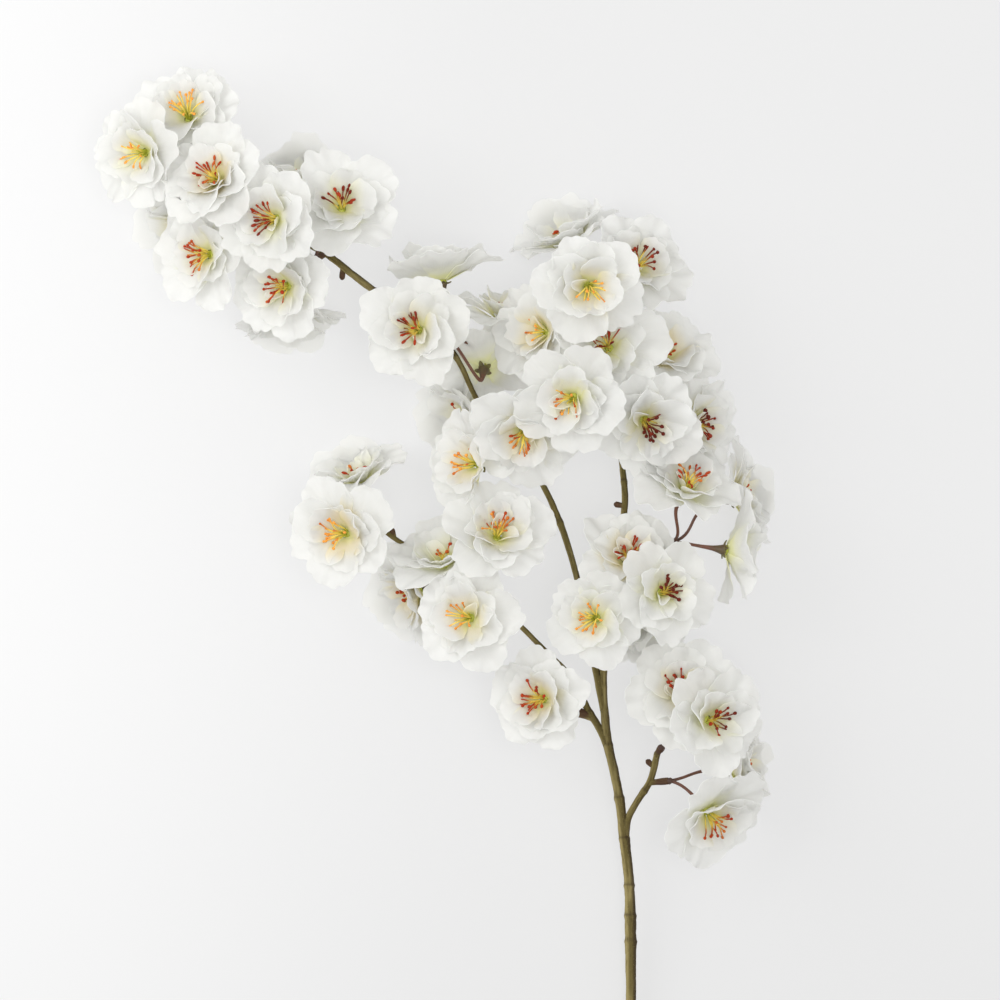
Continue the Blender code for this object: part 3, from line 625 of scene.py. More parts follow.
def bezier(a, b, c, d, t):
    t = np.asarray(t)[:, None]
    return (1 - t) ** 3 * a + 3 * (1 - t) ** 2 * t * b + 3 * (1 - t) * t**2 * c + t**3 * d


def node_group(name, inputs, outputs):
    """An empty shader group with these sockets, as (name, type, default)."""
    group = bpy.data.node_groups.new(name, "ShaderNodeTree")
    for label, kind, value in inputs:
        socket = group.interface.new_socket(name=label, in_out="INPUT", socket_type=kind)
        socket.default_value = value
    for label, kind in outputs:
        group.interface.new_socket(name=label, in_out="OUTPUT", socket_type=kind)
    return group, group.nodes.new("NodeGroupInput"), group.nodes.new("NodeGroupOutput")


class Tree:
    """A few short ways to add nodes to a node tree."""

    def __init__(self, tree):
        self.nodes, self.links = tree.nodes, tree.links

    def add(self, kind, links=None, **settings):
        node = self.nodes.new(kind)
        for key, value in settings.items():
            setattr(node, key, value)
        for socket, value in (links or {}).items():
            if isinstance(value, bpy.types.NodeSocket):
                self.links.new(value, node.inputs[socket])
            else:
                node.inputs[socket].default_value = value
        return node

    def math(self, operation, a, b=0.0, c=0.0):
        return self.add("ShaderNodeMath", {0: a, 1: b, 2: c}, operation=operation).outputs[0]

    def fade(self, value, low, high, to_low=0.0, to_high=1.0):
        """The value's smooth share of the way from low to high."""
        links = {"Value": value, "From Min": low, "From Max": high, "To Min": to_low, "To Max": to_high}
        return self.add("ShaderNodeMapRange", links, interpolation_type="SMOOTHSTEP").outputs["Result"]

    def mix(self, share, a, b):
        node = self.add("ShaderNodeMix", data_type="RGBA")
        for socket, value in ((node.inputs["Factor"], share), (node.inputs[6], a), (node.inputs[7], b)):
            if isinstance(value, bpy.types.NodeSocket):
                self.links.new(value, socket)
            else:
                socket.default_value = value
        return node.outputs[2]

    def attribute(self, name):
        return self.add("ShaderNodeAttribute", attribute_name=name).outputs

    def noise(self, vector, scale, detail=3.0, roughness=0.5):
        links = {"Vector": vector, "Scale": scale, "Detail": detail, "Roughness": roughness}
        return self.add("ShaderNodeTexNoise", links).outputs["Fac"]

    def bump(self, shader, height, strength, distance):
        """Relief of this height, on the shader's normal."""
        links = {"Height": height, "Strength": strength, "Distance": distance}
        node = self.add("ShaderNodeBump", links)
        self.links.new(node.outputs["Normal"], shader.inputs["Normal"])


def new_material(name, roughness, **sockets):
    """A material whose Principled shader has these numbers on its sockets, with its tree."""
    made = bpy.data.materials.new(name)
    made.use_nodes = True
    shader = made.node_tree.nodes["Principled BSDF"]
    shader.inputs["Roughness"].default_value = roughness
    for label, value in sockets.items():
        shader.inputs[label.replace("_", " ")].default_value = value
    return made, Tree(made.node_tree), shader


def rgba(colour):
    return (*colour, 1.0)


def petal_pattern_group():
    """Colour and height of a petal: a glowing throat by its reach from the root, and fine fanning veins and
    soft clouding by its UVs and place."""
    inputs = (
        ("Blade", "NodeSocketColor", (0.9, 0.9, 0.9, 1)),
        ("Glow", "NodeSocketColor", (0.9, 0.9, 0.5, 1)),
        ("Throat", "NodeSocketColor", (0.6, 0.7, 0.2, 1)),
        ("Reach", "NodeSocketFloat", 1.0),
        ("Warm", "NodeSocketFloat", 0.0),
    )
    group, given, out = node_group(
        "petal pattern", inputs, (("Colour", "NodeSocketColor"), ("Height", "NodeSocketFloat"))
    )
    tree = Tree(group)
    uv = tree.add("ShaderNodeUVMap", uv_map="UVMap").outputs["UV"]
    parts = tree.add("ShaderNodeSeparateXYZ", {"Vector": uv}).outputs
    here = tree.add("ShaderNodeTexCoord").outputs["Object"]
    cloud = tree.noise(here, 90.0, 3.0)
    grain = tree.noise(here, 900.0, 2.0)
    reach = tree.math("MULTIPLY_ADD", tree.math("SUBTRACT", cloud, 0.5), 0.5, given.outputs["Reach"])
    glow = tree.fade(reach, 0.3, 1.35, 0.75, 0.0)
    deep = tree.fade(reach, 0.12, 0.62, 0.75, 0.0)
    soft = tree.mix(given.outputs["Warm"], given.outputs["Glow"], WARM_GLOW)
    base = tree.mix(glow, given.outputs["Blade"], soft)
    base = tree.mix(deep, base, given.outputs["Throat"])
    across = tree.math("SUBTRACT", parts["X"], 0.5)
    spread = tree.math("MULTIPLY", across, tree.math("MULTIPLY_ADD", parts["Y"], -0.35, 1.0))
    wander = tree.math("MULTIPLY_ADD", tree.noise(here, 260.0, 2.0), 0.06, spread)
    wave = tree.math("SINE", tree.math("MULTIPLY", wander, 110.0))
    vein = tree.math("MULTIPLY", tree.fade(wave, 0.4, 1.0), tree.fade(parts["Y"], 1.0, 0.4))
    shade = tree.mix(tree.math("MULTIPLY", vein, 0.06), base, VEIN)
    tree.links.new(shade, out.inputs["Colour"])
    height = tree.math("MULTIPLY_ADD", grain, 0.25, tree.math("MULTIPLY", vein, -0.5))
    tree.links.new(tree.math("MULTIPLY_ADD", cloud, 0.6, height), out.inputs["Height"])
    return group


def petal_material(looks):
    """Soft petals that let light through, least of it at their roots."""
    made, tree, shader = new_material("petal_silk", 0.6, Specular_IOR_Level=0.25)
    pattern = tree.add("ShaderNodeGroup", node_tree=petal_pattern_group())
    for label, colour in (("Blade", looks.blade), ("Glow", looks.glow), ("Throat", looks.throat)):
        pattern.inputs[label].default_value = rgba(colour)
    for label in ("Reach", "Warm"):
        tree.links.new(tree.attribute(label.lower())["Fac"], pattern.inputs[label])
    tree.links.new(pattern.outputs["Colour"], shader.inputs["Base Color"])
    tree.bump(shader, pattern.outputs["Height"], 0.3, 0.2 * MM)
    through = tree.add("ShaderNodeBsdfTranslucent", {"Color": pattern.outputs["Colour"]})
    share = tree.fade(tree.attribute("reach")["Fac"], 0.3, 1.4, looks.thin_root, looks.thin)
    shaders = {0: share, 1: shader.outputs["BSDF"], 2: through.outputs["BSDF"]}
    both = tree.add("ShaderNodeMixShader", shaders)
    tree.links.new(both.outputs["Shader"], tree.nodes["Material Output"].inputs["Surface"])
    return made


def waves(angle, draw, counts):
    """An uneven wave round a rim, between -1 and 1: a few sines with drawn counts and phases."""
    found = np.zeros_like(angle)
    for low, high in counts:
        found += np.sin(draw.uniform(low, high) * angle + draw.uniform(0, 2 * math.pi))
    return found / len(counts)


def lobes(angle, draw):
    """Rounded lobes round a rim with narrow notches, between -1 and 1: wide, middling and small ones."""
    found = np.zeros_like(angle)
    for count, share in LOBE_COUNTS:
        turned = draw.uniform(*LOBE_VARY) * count * angle + draw.uniform(0, math.pi)
        found += share * (2 * np.abs(np.sin(turned)) - 1)
    return found


def dents(along, sideways, draw):
    """Soft dents all over a blade, between -1 and 1: a few sines in drawn directions."""
    found = np.zeros_like(along)
    for _ in range(DENT_WAVES):
        turn, step = draw.uniform(0, math.pi), draw.uniform(*DENT_STEPS) * MM
        way = along * math.cos(turn) + sideways * math.sin(turn)
        found += np.sin(2 * math.pi * (way / step + draw.random()))
    return found / DENT_WAVES


def blade_shape(place_of, bent, pattern, looks, draw, lowest):
    """A fine petal's points and how far each is from its root in centimetres: the sheet's pattern, rounded,
    folded and frilled, on the solid's own surface."""
    petal, bend, stretch = bent
    v, u = pattern[0][:, 0], pattern[0][:, 1]
    wide = petal.half_width
    claw = CLAW / wide
    widest, roundness = draw.uniform(*WIDEST_AT), draw.uniform(*ROUNDNESS)
    opening = claw + (1 - claw) * np.sin(math.pi / 2 * np.minimum(u, widest) / widest) ** SHOULDER
    past = np.clip((u - widest) / (1 - widest), 0, 1)
    spread = wide * opening * np.sqrt(1 - roundness * past**2)
    depth, spot = draw.choice(NOTCH_DEPTHS), draw.uniform(-NOTCH_PLACE, NOTCH_PLACE)
    notch = depth * np.exp(-(((v - spot) / NOTCH_WIDTH) ** 2))
    along = np.minimum(u, widest) + (1 - widest) * past * np.sqrt(1 - roundness * v**2)
    along *= 1 - draw.uniform(*SIDES_BACK) * v**2 - notch
    sideways = v * spread
    edge = (v**RIM_POWER + u**RIM_POWER) ** (1 / RIM_POWER) / 2 ** (1 / (2 * RIM_POWER))
    angle = np.arctan2(sideways, (along - HUB) * petal.length)
    scallop = looks.lobes * lobes(angle, draw) * edge**LOBE_EDGE
    along = HUB + (along - HUB) * (1 + scallop)
    sideways = sideways * (1 + scallop)
    lift = looks.fold * waves(angle, draw, FOLD_COUNTS) * edge**FOLD_EDGE
    lift += looks.ruffle * waves(angle, draw, RUFFLE_COUNTS) * edge**RUFFLE_EDGE
    lift += looks.frill * waves(angle, draw, FRILL_COUNTS) * edge**FRILL_EDGE
    lift += looks.dents * dents(along * petal.length, sideways, draw)
    lift += draw.uniform(*CURL) * MM * u**3
    lift += WARP * MM * waves(u * WARP_TURN + v, draw, WARP_COUNTS) * u
    lift -= MIDRIB_DEPTH * MM * np.exp(-((v / MIDRIB_WIDTH) ** 2)) * np.sin(math.pi * u)
    lift *= wide / looks.outer_half_width * u
    points = petal_points(place_of, petal, along, sideways, bend, stretch, lift)
    return laid(points, place_of[1], lowest, TABLE_CLIMB), along * petal.length / REACH_UNIT


def layers_of(bloom, looks, draw):
    """The bloom's petals with their bends: the solid's own, made a little wider and longer and less even,
    some between the two layers, where the outer petals on both sides are there, and the heart's petaloids."""
    found = []
    for petal, bend, stretch in read_bends(bloom):
        own, solid = looks.inner_half_width, INNER_HALF_WIDTH
        if petal.outer:
            own, solid = looks.outer_half_width, OUTER_HALF_WIDTH
        uneven = OUTER_EVENED if petal.outer and bloom.lean < SIDEWAYS else 1.0
        longer, wider = LENGTH_STRAY * uneven, WIDTH_STRAY * uneven
        fine = petal._replace(
            azimuth=petal.azimuth + math.radians(uneven * draw.uniform(-AZIMUTH_STRAY, AZIMUTH_STRAY)),
            length=petal.length * looks.longer * draw.uniform(1 - longer, 1 + longer),
            half_width=petal.half_width * (own / solid) * draw.uniform(1 - wider, 1 + wider),
            root_rise=petal.root_rise - (0 if petal.outer else INNER_OPENED),
            tip_rise=petal.tip_rise + uneven * draw.uniform(*TIP_STRAY),
            twist=petal.twist * draw.uniform(*TWIST_STRAY),
        )
        found.append((fine, bend, stretch))
    outer = [bent for bent in found if bent[0].outer]
    for (petal, bend, stretch), (other, other_bend, other_stretch) in zip(outer, outer[1:]):
        near = other.azimuth - petal.azimuth < math.radians(MOST_APART)
        if near and draw.random() < looks.between:
            middle = petal._replace(
                azimuth=(petal.azimuth + other.azimuth) / 2,
                length=draw.uniform(*BETWEEN_LENGTH) * petal.length,
                half_width=draw.uniform(*BETWEEN_WIDTH) * petal.half_width,
                root_rise=petal.root_rise + draw.uniform(*BETWEEN_ROOT),
                tip_rise=petal.tip_rise + draw.uniform(*BETWEEN_TIP),
                twist=math.radians(draw.uniform(-BETWEEN_TWIST, BETWEEN_TWIST)),
                cup=draw.uniform(*BETWEEN_CUP),
                outer=False,
            )
            found.append((middle, (bend + other_bend) / 2, min(stretch, other_stretch)))
    for number in range(draw.randint(0, looks.petaloids)):
        found.append((petaloid(draw, number), 0, 1))
    return found


def petaloid(draw, number):
    """A small upright petal among the stamens, without a bend."""
    rise = draw.uniform(*PETALOID_RISE)
    return Petal(
        azimuth=draw.uniform(0, 2 * math.pi) + number * math.pi,
        length=draw.uniform(*PETALOID_LENGTH) * MM,
        half_width=draw.uniform(*PETALOID_HALF_WIDTH) * MM,
        root_rise=rise,
        tip_rise=rise - draw.uniform(*PETALOID_FALL),
        twist=math.radians(draw.uniform(-PETALOID_TWIST, PETALOID_TWIST)),
        cup=PETALOID_CUP,
        outer=False,
    )


class BLOSSOM_OT_petals(bpy.types.Operator):
    """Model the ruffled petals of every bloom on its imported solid"""

    bl_idname = "blossom.petals"
    bl_label = "Petals"

    def execute(self, context):
        looks = context.scene.blossom_petals
        finish = petal_material(looks)
        patterns = [(least * MM, sheet_pattern(across, along)) for least, across, along in SHEETS]
        for bloom in BLOOMS:
            draw = random.Random(f"{bloom.name} ruffles")
            place_of = bloom_frame(bloom)
            tint = draw.choice(TINTS)
            parts, reach = [], []
            for layer, bent in enumerate(layers_of(bloom, looks, draw)):
                lowest = looks.thickness / 2 + (TABLE_GAP + TABLE_STEP * layer) * MM
                pattern = next(found for least, found in patterns if bent[0].half_width > least)
                shaped, far = blade_shape(place_of, bent, pattern, looks, draw, lowest)
                parts.append((pattern, shaped))
                reach.append(far)
            values = {"reach": reach, "warm": [tint] * len(parts)}
            piece = gather(f"petals_{bloom.name}", parts, finish, values)
            thicken(piece, looks.thickness)
            finish_piece(piece, "petal", f"bloom_{bloom.name}")
        return {"FINISHED"}


def stamen_patterns():
    """A filament from 0 to 1 in Z, extruded in steps, and an anther round the origin."""
    bpy.ops.object.select_all(action="DESELECT")
    bpy.ops.mesh.primitive_circle_add(vertices=FILAMENT_SIDES, radius=1, fill_type="NGON")
    filament = bpy.context.object
    bpy.ops.object.mode_set(mode="EDIT")
    for _ in range(FILAMENT_STEPS):
        bpy.ops.mesh.extrude_region_move(TRANSFORM_OT_translate={"value": (0, 0, 1 / FILAMENT_STEPS)})
    bpy.ops.mesh.select_all(action="SELECT")
    bpy.ops.mesh.normals_make_consistent(inside=False)
    bpy.ops.object.mode_set(mode="OBJECT")
    bpy.ops.object.select_all(action="DESELECT")
    bpy.ops.mesh.primitive_uv_sphere_add(segments=8, ring_count=5, radius=1)
    anther = bpy.context.object
    return pattern_of(filament), pattern_of(anther)


def stamen_material(looks):
    """Green at the root and yellow half way, to a tip between orange and dark red, as warm says."""
    made, tree, shader = new_material("stamen", 0.5, Specular_IOR_Level=0.2)
    along = tree.attribute("along")["Fac"]
    warm = tree.attribute("warm")["Fac"]
    here = tree.add("ShaderNodeTexCoord").outputs["Object"]
    patch = tree.noise(here, 700.0, 2.0)
    at = tree.math("MULTIPLY_ADD", warm, 0.3, tree.math("SUBTRACT", along, 0.12))
    at = tree.math("MULTIPLY_ADD", tree.math("SUBTRACT", patch, 0.5), 0.3, at)
    tip = tree.mix(tree.fade(warm, 0.0, 0.5), rgba(looks.light), rgba(looks.red))
    tip = tree.mix(tree.fade(warm, 0.5, 1.0), tip, rgba(looks.dark))
    root = tree.mix(tree.fade(warm, 0.5, 0.9), rgba(looks.root), rgba(looks.deep))
    colour = tree.mix(tree.fade(at, 0.10, 0.46), root, rgba(looks.middle))
    colour = tree.mix(tree.fade(at, 0.54, 0.88), colour, tip)
    tree.links.new(colour, shader.inputs["Base Color"])
    tree.bump(shader, patch, 0.3, 0.1 * MM)
    return made


def stamen_shapes(place_of, turn, draw, looks, patterns, size, club, head_size):
    """One stamen's filament and anther, each with how far its points are along the stamen: it rises with the
    axis and arches out, more to the side that the bloom faces. Club makes the anther longer and slimmer."""
    throat, axis, side, other = place_of
    filament, anther = (pattern[0] for pattern in patterns)
    outward = math.cos(turn) * side + math.sin(turn) * other
    facing = unit(np.array([axis[0], axis[1], 0.0]))
    splay = math.radians(draw.uniform(*SPLAY))
    length = looks.length * size * draw.uniform(*STAMEN_LENGTHS)
    way = unit(math.cos(splay) * axis + math.sin(splay) * outward + looks.leaning * facing)
    root = throat + outward * draw.uniform(*STAMEN_ROOT) * MM
    tip = root + way * length
    rise = draw.uniform(*STAMEN_REIN) * length
    before_tip = root + axis * rise + way * STAMEN_END * length
    t = filament[:, 2]
    middle = bezier(root, root + axis * rise * STAMEN_START, before_tip, tip, t)
    across = unit(np.cross(way, side + 0.3 * other))
    bow = draw.uniform(-STAMEN_BOW, STAMEN_BOW) * length
    middle += np.outer(np.sin(math.pi * t) ** 2, across) * bow
    up = np.cross(way, across)
    thick = looks.filament * draw.uniform(0.9, 1.1) * (0.95 + 0.2 * t)
    points = middle + np.outer(filament[:, 0] * thick, across) + np.outer(filament[:, 1] * thick, up)
    end = unit(tip - before_tip)
    lean = unit(np.cross(end, across + 0.5 * up))
    depth = np.cross(end, lean)
    grow = looks.anther * head_size * draw.uniform(0.85, 1.15)
    slim = grow / club**0.5
    head = tip + np.outer(anther[:, 2] * grow * club * draw.uniform(0.9, 1.2), end)
    head += np.outer(anther[:, 0] * slim * ANTHER_WIDE, lean)
    head += np.outer(anther[:, 1] * slim * ANTHER_DEEP, depth)
    return (points, t), (head, np.ones(len(anther)))


class BLOSSOM_OT_stamens(bpy.types.Operator):
    """Model the stamens of every bloom"""

    bl_idname = "blossom.stamens"
    bl_label = "Stamens"

    def execute(self, context):
        looks = context.scene.blossom_stamens
        finish = stamen_material(looks)
        patterns = stamen_patterns()
        for bloom in BLOOMS:
            draw = random.Random(f"{bloom.name} stamens")
            place_of = bloom_frame(bloom)
            warmth = WARMTHS.get(bloom.name, USUAL_WARMTH)
            shy = bloom.name in SHY
            club = draw.choice(CLUBS)
            count = draw.randint(looks.fewest, looks.most) // (SHY_SHARE if shy else 1)
            size = bloom.size * (SHY_SIZE if shy else 1)
            head_size = 0.75 + 0.35 * warmth
            parts, along, warm = [], [], []
            for number in range(count):
                own = warmth + draw.uniform(*WARMTH_VARY)
                turn = 2 * math.pi * (number + draw.uniform(-PLACE_VARY, PLACE_VARY)) / count
                shapes = stamen_shapes(place_of, turn, draw, looks, patterns, size, club, head_size)
                for pattern, (points, ways) in zip(patterns, shapes):
                    parts.append((pattern, points))
                    along.append(ways)
                    warm.append(own)
            piece = gather(f"stamens_{bloom.name}", parts, finish, {"along": along, "warm": warm})
            finish_piece(piece, "stalk_and_stamen")
        return {"FINISHED"}


def stalk_material(looks):
    """From the knob's scales at 0, over the pedicel and the calyx, to the heart past 1, as along says."""
    made, tree, shader = new_material("stalk", 0.5, Subsurface_Weight=0.05, Subsurface_Scale=0.5 * MM)
    along = tree.attribute("along")["Fac"]
    here = tree.add("ShaderNodeTexCoord").outputs["Object"]
    patch = tree.noise(here, 420.0, 4.0, 0.6)
    at = tree.math("MULTIPLY_ADD", tree.math("SUBTRACT", patch, 0.5), 0.25, along)
    colour = tree.mix(tree.fade(at, 0.0, 0.22), rgba(looks.knob), rgba(looks.stalk))
    colour = tree.mix(tree.fade(at, 0.55, 0.82), colour, rgba(looks.calyx))
    colour = tree.mix(tree.fade(at, 0.93, 1.02), colour, rgba(looks.rim))
    colour = tree.mix(tree.fade(patch, 0.4, 0.7, 0.0, 0.35), colour, rgba(looks.knob))
    colour = tree.mix(tree.fade(along, 1.02, 1.08), colour, rgba(looks.heart))
    tree.links.new(colour, shader.inputs["Base Color"])
    tree.bump(shader, patch, 0.5, 0.2 * MM)
    return made


def pedicel_shape(bloom, looks):
    """The pedicel with the calyx that it widens into, as a ribbed tube up to the receptacle's dome."""
    _, axis, side, _ = bloom_frame(bloom)
    root, knob = (place(*point) for point in SPURS[bloom.spur][:2])
    foot = calyx_foot(bloom)
    span = np.linalg.norm(foot - knob)
    leave = unit(ALONG_SPUR * unit(knob - root) + unit(foot - knob))
    t = np.linspace(0, 1, PEDICEL_RINGS)
    way = bezier(knob, knob + leave * span * KNOB_REIN, foot - axis * span * CALYX_REIN, foot, t)
    thin = looks.pedicel * (1.15 - 0.15 * t + 0.6 * t**5)
    shares = np.array(CALYX_RINGS)
    flare = thin[-1] + (CALYX_RADIUS - thin[-1]) * shares**CALYX_FLARE
    rises, dome = np.array(DOME).T * MM
    heights = np.concatenate([shares * CALYX_LENGTH, CALYX_LENGTH + rises])
    centres = np.vstack([way, foot + np.outer(heights, axis)])
    radii = np.concatenate([thin, flare, dome])
    ribbed = np.clip((np.arange(len(radii)) - (PEDICEL_RINGS - 1)) / len(shares), 0, 1)
    turn = 2 * np.pi * np.arange(PEDICEL_SIDES) / PEDICEL_SIDES
    ribs = 1 + CALYX_RIBS * ribbed[:, None] * np.cos(SEPALS * turn)
    along = np.concatenate([t * CALYX_END, CALYX_END + (1 - CALYX_END) * shares, HEART_TONE + 0 * rises])
    return tube(centres, radii, PEDICEL_SIDES, side, ribs), per_point(along, PEDICEL_SIDES)


def sepal_shape(bloom, number, pattern, looks, draw):
    """A pointed sepal that lies back along the underside of the petals."""
    throat, axis, side, other = bloom_frame(bloom)
    turn = 2 * math.pi * (number + 0.5) / SEPALS + draw.uniform(-0.12, 0.12)
    outward = math.cos(turn) * side + math.sin(turn) * other
    tangent = np.cross(axis, outward)
    v, u = pattern[0][:, 0], pattern[0][:, 1]
    length = looks.sepal * draw.uniform(0.85, 1.15)
    rise = math.radians(draw.uniform(*SEPAL_RISE))
    reach = CALYX_RADIUS * 0.8 + u * length * math.cos(rise)
    height = -CALYX_BELOW - 0.3 * MM + u**1.3 * length * math.sin(rise) - 0.35 * MM * v**2
    wide = SEPAL_HALF_WIDTH * (1 - u) ** 0.6 * (0.8 + 0.6 * u)
    points = throat + np.outer(reach, outward) + np.outer(height, axis)
    return points + np.outer(v * wide, tangent)


def knob_shape(name, pattern):
    """The knob of overlapping bud scales at a spur's end."""
    root, knob = (place(*point) for point in SPURS[name][:2])
    way = unit(knob - root)
    x, y, z = pattern[0].T
    lumps = (1 + 0.13 * np.sin(3 * np.arctan2(y, x) + 4 * z)) * KNOB_RADIUS
    side = unit(np.cross(way, np.array([0.3, 0.5, 0.8])))
    points = knob + np.outer(z * 1.15 * KNOB_RADIUS, way) + np.outer(x * lumps, side)
    return points + np.outer(y * lumps, np.cross(way, side))


class BLOSSOM_OT_stalks(bpy.types.Operator):
    """Model each corymb's knob, pedicels, calyces and sepals"""

    bl_idname = "blossom.stalks"
    bl_label = "Stalks"

    def execute(self, context):
        looks = context.scene.blossom_stalks
        finish = stalk_material(looks)
        leaf = sheet_pattern(*SEPAL_SHEET)
        bpy.ops.object.select_all(action="DESELECT")
        bpy.ops.mesh.primitive_uv_sphere_add(segments=14, ring_count=9, radius=1)
        ball = pattern_of(bpy.context.object)
        for name in SPURS:
            blooms = [bloom for bloom in BLOOMS if bloom.spur == name]
            sepals = []
            for bloom in blooms:
                draw = random.Random(f"{bloom.name} sepals")
                sepals += [(leaf, sepal_shape(bloom, number, leaf, looks, draw)) for number in range(SEPALS)]
            crown = gather(f"sepals_{name}", sepals, finish, {"along": [SEPAL_TONE] * len(sepals)})
            thicken(crown, SEPAL_THICKNESS)
            parts, along = [(ball, knob_shape(name, ball))], [0.0]
            for bloom in blooms:
                shape, ways = pedicel_shape(bloom, looks)
                parts.append((shape, shape[0]))
                along.append(ways)
            piece = gather(f"stalks_{name}", parts, finish, {"along": along})
            only(piece)
            crown.select_set(True)
            bpy.ops.object.join()
            finish_piece(piece, "stalk_and_stamen", f"corymb_{name}")
        return {"FINISHED"}


def bark_material(looks):
    """Bark with streaks along each limb, with painted light on one side and painted shade on the other."""
    made, tree, shader = new_material("bark", 0.72, Specular_IOR_Level=0.15)
    straight = tree.attribute("straight")["Vector"]
    cut = tree.attribute("cut")["Fac"]
    mapping = tree.add("ShaderNodeMapping", {"Vector": straight, "Scale": (1.0, 1.0, 0.18)})
    stretched = mapping.outputs["Vector"]
    streak = tree.noise(stretched, 900.0, 5.0, 0.6)
    patch = tree.noise(stretched, 260.0, 3.0, 0.6)
    side = tree.add("ShaderNodeSeparateXYZ", {"Vector": straight}).outputs["Y"]
    speck = tree.noise(straight, 1500.0, 2.0)
    colour = tree.mix(tree.fade(patch, 0.42, 0.75, 0.0, 0.6), rgba(looks.body), rgba(looks.pale_and_lit))
    # Painted light on each limb's side towards -Y and painted shade on its side towards +Y, read from the
    # straight attribute's Y
    colour = tree.mix(tree.fade(side, -0.4 * MM, -2.0 * MM, 0.0, 0.8), colour, rgba(looks.pale_and_lit))
    colour = tree.mix(tree.fade(side, 0.3 * MM, 2.0 * MM, 0.0, 0.8), colour, rgba(looks.dark))
    colour = tree.mix(tree.fade(streak, 0.50, 0.72, 0.0, 0.6), colour, rgba(looks.dark))
    colour = tree.mix(tree.fade(speck, 0.64, 0.74, 0.0, 0.5), colour, rgba(looks.pale_and_lit))
    colour = tree.mix(tree.attribute("scar")["Fac"], colour, rgba(looks.dark))
    colour = tree.mix(tree.attribute("bud")["Fac"], colour, rgba(looks.bud))
    colour = tree.mix(tree.fade(cut, 0.4, 0.6), colour, rgba(looks.cut))
    tree.links.new(colour, shader.inputs["Base Color"])
    rough = tree.fade(streak, 0.3, 0.8, 0.6, 0.85)
    tree.links.new(rough, shader.inputs["Roughness"])
    height = tree.math("MULTIPLY_ADD", speck, 0.3, tree.math("MULTIPLY_ADD", streak, -1.0, patch))
    tree.bump(shader, height, 0.6, 0.3 * MM)
    return made


def scars_along(name, centres, at):
    """Where a limb's scars are along its way: those of the table, and drawn ones between them."""
    draw = random.Random(f"{name} bark")
    heights = centres[:, 1] / MM + MIDDLE[1]
    scars = [at[int(np.abs(heights - height).argmin())] for height in SCARS.get(name, ())]
    spot = draw.uniform(*FIRST_SCAR) * MM
    while spot < at[-1] - CLEAR_END * MM:
        if all(abs(spot - other) > LEAST_APART * MM for other in scars):
            scars.append(spot)
        spot += draw.uniform(*NEXT_SCAR) * MM
    return scars


def bark_lumps(name, at, turn):
    """How uneven a limb's section is, ring by ring and side by side."""
    lumps = np.empty((len(at), len(turn)))
    for i, along in enumerate(at / MM):
        for j, angle in enumerate(turn):
            x, y = math.cos(angle), math.sin(angle)
            coarse = Vector((1.3 * x, 1.3 * y, along * 0.16 + len(name) * 9))
            fine = Vector((3 * x, 3 * y, along * 0.5 + len(name) * 5))
            lumps[i, j] = 1 + 0.10 * noise.noise(coarse) + 0.05 * noise.noise(fine)
    return lumps


def limb(name, rows, looks, finish, sides, dark_end=0.0):
    """A limb with an uneven bark: it swells at its scars, each with a step, and its section isn't quite
    round. Dark end is how dark its tip is."""
    centres, radii, at = smooth_route(rows, looks.ring_step)
    radii = radii * (1 if name == "stem" else looks.thicker)
    swell, scarred = np.ones(len(at)), np.zeros(len(at))
    for scar in scars_along(name, centres, at):
        off = (at - scar) / MM
        swell += 0.10 * np.exp(-((off / 1.1) ** 2))
        swell += 0.08 * np.where(off < 0, np.exp(off / 6), np.exp(-off))
        scarred = np.maximum(scarred, 0.7 * np.exp(-(((off - 1.4) / 0.6) ** 2)))
    budded = dark_end * np.clip((at / at[-1] - 0.1) / 0.35, 0, 1)
    turn = 2 * np.pi * np.arange(sides) / sides
    shape = tube(centres, radii * swell, sides, (0, 0, 1), bark_lumps(name, at, turn))
    shape[0][:, 2] = np.maximum(shape[0][:, 2], LOWEST)
    values = {"cut": [0.0], "scar": [per_point(scarred, sides)], "bud": [per_point(budded, sides)]}
    whole = gather(f"limb_{name}", [(shape, shape[0])], finish, values)
    wide = per_point(radii, sides)
    angle = np.concatenate([np.tile(turn, len(at)), [0, 0]])
    length = per_point(at, sides) + len(name) * 0.7
    straight = np.stack([wide * np.cos(angle), wide * np.sin(angle), length], axis=1)
    attribute = whole.data.attributes.new("straight", "FLOAT_VECTOR", "POINT")
    attribute.data.foreach_set("vector", straight.ravel())
    return whole


def show_cut(stem):
    """The cut end's flat face gets a rim, and the wood inside it its own colour."""
    shape = bmesh.new()
    shape.from_mesh(stem.data)
    cut = shape.verts.layers.float["cut"]
    end = [face for face in shape.faces if len(face.verts) == 3 and face.calc_center_median().y < -0.2]
    bmesh.ops.dissolve_faces(shape, faces=end)
    shape.faces.ensure_lookup_table()
    flat = max(shape.faces, key=lambda face: len(face.verts) if face.calc_center_median().y < -0.2 else 0)
    bmesh.ops.inset_region(shape, faces=[flat], thickness=0.35 * MM, depth=0.08 * MM)
    for vertex in flat.verts:
        vertex[cut] = 1.0
    shape.to_mesh(stem.data)
    shape.free()


def fuse(body, others):
    """One union on a collection, applied, with the collection's objects then removed."""
    pieces = bpy.data.collections.new("limbs")
    bpy.context.scene.collection.children.link(pieces)
    for other in others:
        bpy.context.scene.collection.objects.unlink(other)
        pieces.objects.link(other)
    union = body.modifiers.new("union", "BOOLEAN")
    union.operation = "UNION"
    union.solver = "MANIFOLD"
    union.operand_type = "COLLECTION"
    union.collection = pieces
    only(body)
    bpy.ops.object.modifier_apply(modifier=union.name)
    for other in others:
        bpy.data.objects.remove(other)
    bpy.data.collections.remove(pieces)


